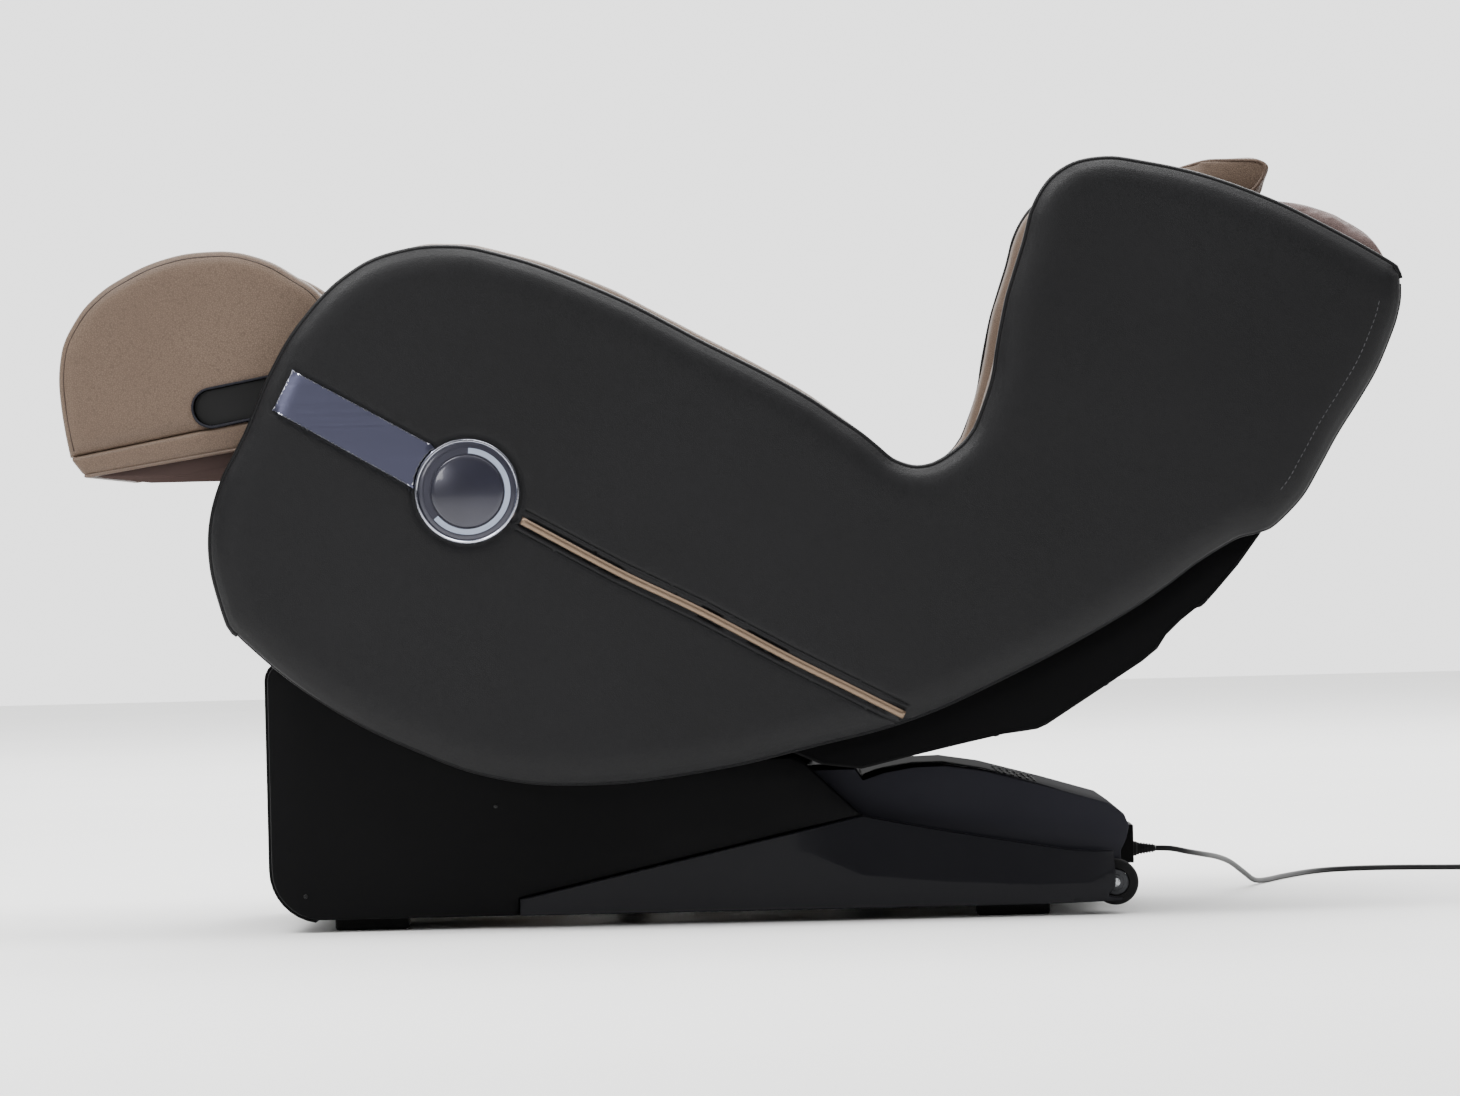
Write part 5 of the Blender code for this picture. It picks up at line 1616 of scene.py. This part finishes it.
def lead_path():
    """The route, then three turns: outer and inner on the floor, outer and inner on top, and the plug."""
    line = smooth_run(ROUTE, 3)
    plug_low, plug_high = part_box("mains_plug")
    plug_z = (plug_low.z + plug_high.z) / 2
    steps = 36
    for k in range(3 * steps + 1):
        t = k / steps
        inner = eased(t, 0.66, 0.87) - eased(t, 1.72, 1.92) + eased(t, 2.50, 2.72)
        reach = TURN_OUT - (TURN_OUT - TURN_IN) * inner
        high = CORD_D / 2 + 0.0001 + LAYER * eased(t, 1.44, 1.70) + (plug_z - 0.0109) * eased(t, 2.70, 3.00)
        a = -math.pi / 2 + 2 * math.pi * t
        line.append(Vector((COIL_AT[0] + reach * math.cos(a), COIL_AT[1] + reach * math.sin(a), high)))
    return line + [Vector((line[-1].x + 0.004, line[-1].y, line[-1].z))]


lead_line = lead_path()
lead = tube("mains_lead", lead_line, CORD_D / 2, PVC_SHEATH, 14)


def strain_relief():
    """Sleeve tapering from the inlet, with ribs moulded round it so that it bends evenly."""
    low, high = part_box("cord_strain_relief")
    length = high.x - low.x
    profile = [(0.0, 0.0), (0.0092, 0.0), (0.0092, 0.0035), (0.0084, 0.0045)]
    for k in range(6):
        start = 0.0055 + 0.0036 * k
        thick = 0.0078 - 0.0005 * k
        profile += [(thick, start), (thick, start + 0.0020)]
        profile += [(thick - 0.0013, start + 0.0023), (thick - 0.0013, start + 0.0033)]
    profile += [(0.0046, length), (0.0, length)]
    at = (low.x, (low.y + high.y) / 2, (low.z + high.z) / 2)
    return spun("ribbed_sleeve", profile, at, (1, 0, 0), SLEEVE_RUBBER, 28, 30)


def mains_plug():
    """Moulded two-pin plug with a waisted grip, a sleeve at its rear and plated pins."""
    low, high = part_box("mains_plug")
    middle = (low + high) / 2
    rear, front, half_y, half_z = low.x, low.x + 0.035, (high.y - low.y) / 2, (high.z - low.z) / 2
    sections = (
        (0.0000, 0.50, 0.50), (0.0015, 0.58, 0.56), (0.0080, 0.70, 0.66), (0.0150, 0.86, 0.86),
        (0.0185, 0.80, 0.80), (0.0205, 0.88, 0.88), (0.0240, 0.80, 0.80), (0.0262, 0.90, 0.90),
        (0.0300, 0.99, 0.99), (0.0330, 1.00, 1.00), (0.0345, 0.97, 0.97), (0.0350, 0.90, 0.90),
    )
    bm = bmesh.new()
    rows = []
    for along, wide, tall in sections:
        row = []
        for k in range(32):
            a = 2 * math.pi * k / 32
            c, s = math.cos(a), math.sin(a)
            square = (abs(c) ** 3.2 + abs(s) ** 3.2) ** (-1 / 3.2)
            y = middle.y + half_y * wide * c * square
            z = middle.z + half_z * tall * s * square
            row.append(bm.verts.new((rear + along, y, z)))
        rows.append(row)
    bridged(bm, rows)
    bm.faces.new(rows[0])
    bm.faces.new(rows[-1])
    bmesh.ops.recalc_face_normals(bm, faces=bm.faces)
    body = meshed("plug_body", bm, SLEEVE_RUBBER, 40)
    pins = []
    for offset in (-0.0095, 0.0095):
        tip = high.x - front
        profile = [(0.0024, 0.0), (0.0024, tip - 0.0008), (0.0018, tip), (0.0, tip), (0.0, 0.0)]
        pins.append(spun("pin", profile, (front, middle.y + offset, middle.z), (1, 0, 0), ZINC_STEEL, 20, 30))
    return body, combined("plug_pins", pins)


def lead_tie():
    """Hook-and-loop strap round one side of the coil, its tail lapped on top."""
    turn = math.radians(115)
    out = Vector((math.cos(turn), math.sin(turn), 0))
    middle = Vector((*COIL_AT, LAYER)) + out * (TURN_OUT + TURN_IN) / 2
    along = Vector((-out.y, out.x, 0))
    bm = bmesh.new()
    rows = [[], [], [], []]
    for k in range(40):
        a = 2 * math.pi * k / 40
        c, s = math.cos(a), math.sin(a)
        square = (abs(c) ** 5 + abs(s) ** 5) ** (-1 / 5)
        for size, row in ((0.0, 0), (0.0009, 1)):
            lift = Vector((0, 0, (LAYER + size * 0.9) * s * square))
            spot = middle + out * (LAYER + size) * c * square + lift
            spot.z = max(spot.z, 0.0001)
            rows[row].append(bm.verts.new(spot - along * 0.0055))
            rows[row + 2].append(bm.verts.new(spot + along * 0.0055))
    for k in range(40):
        j = (k + 1) % 40
        for a, b in ((0, 1), (1, 3), (3, 2), (2, 0)):
            bm.faces.new((rows[a][k], rows[b][k], rows[b][j], rows[a][j]))
    bmesh.ops.recalc_face_normals(bm, faces=bm.faces)
    return meshed("lead_tie", bm, STRAP_WEAVE, 30)


STRAP_WEAVE = moulded("woven_strap", "101012", "1b1b1e", 0.8, 1.2, 0.7)
sleeve = strain_relief()
plug_body, plug_pins = mains_plug()
tie = lead_tie()
settle(lead, "base", "rubber", "power_cord", "cord_coil")
settle(sleeve, "base", "rubber", "cord_strain_relief")
settle(plug_body, "base", "rubber", "mains_plug")
settle(plug_pins, "base", "rubber")
settle(tie, "base", "rubber")

bpy.data.objects.remove(PAN_HEAD)
bpy.context.view_layer.update()
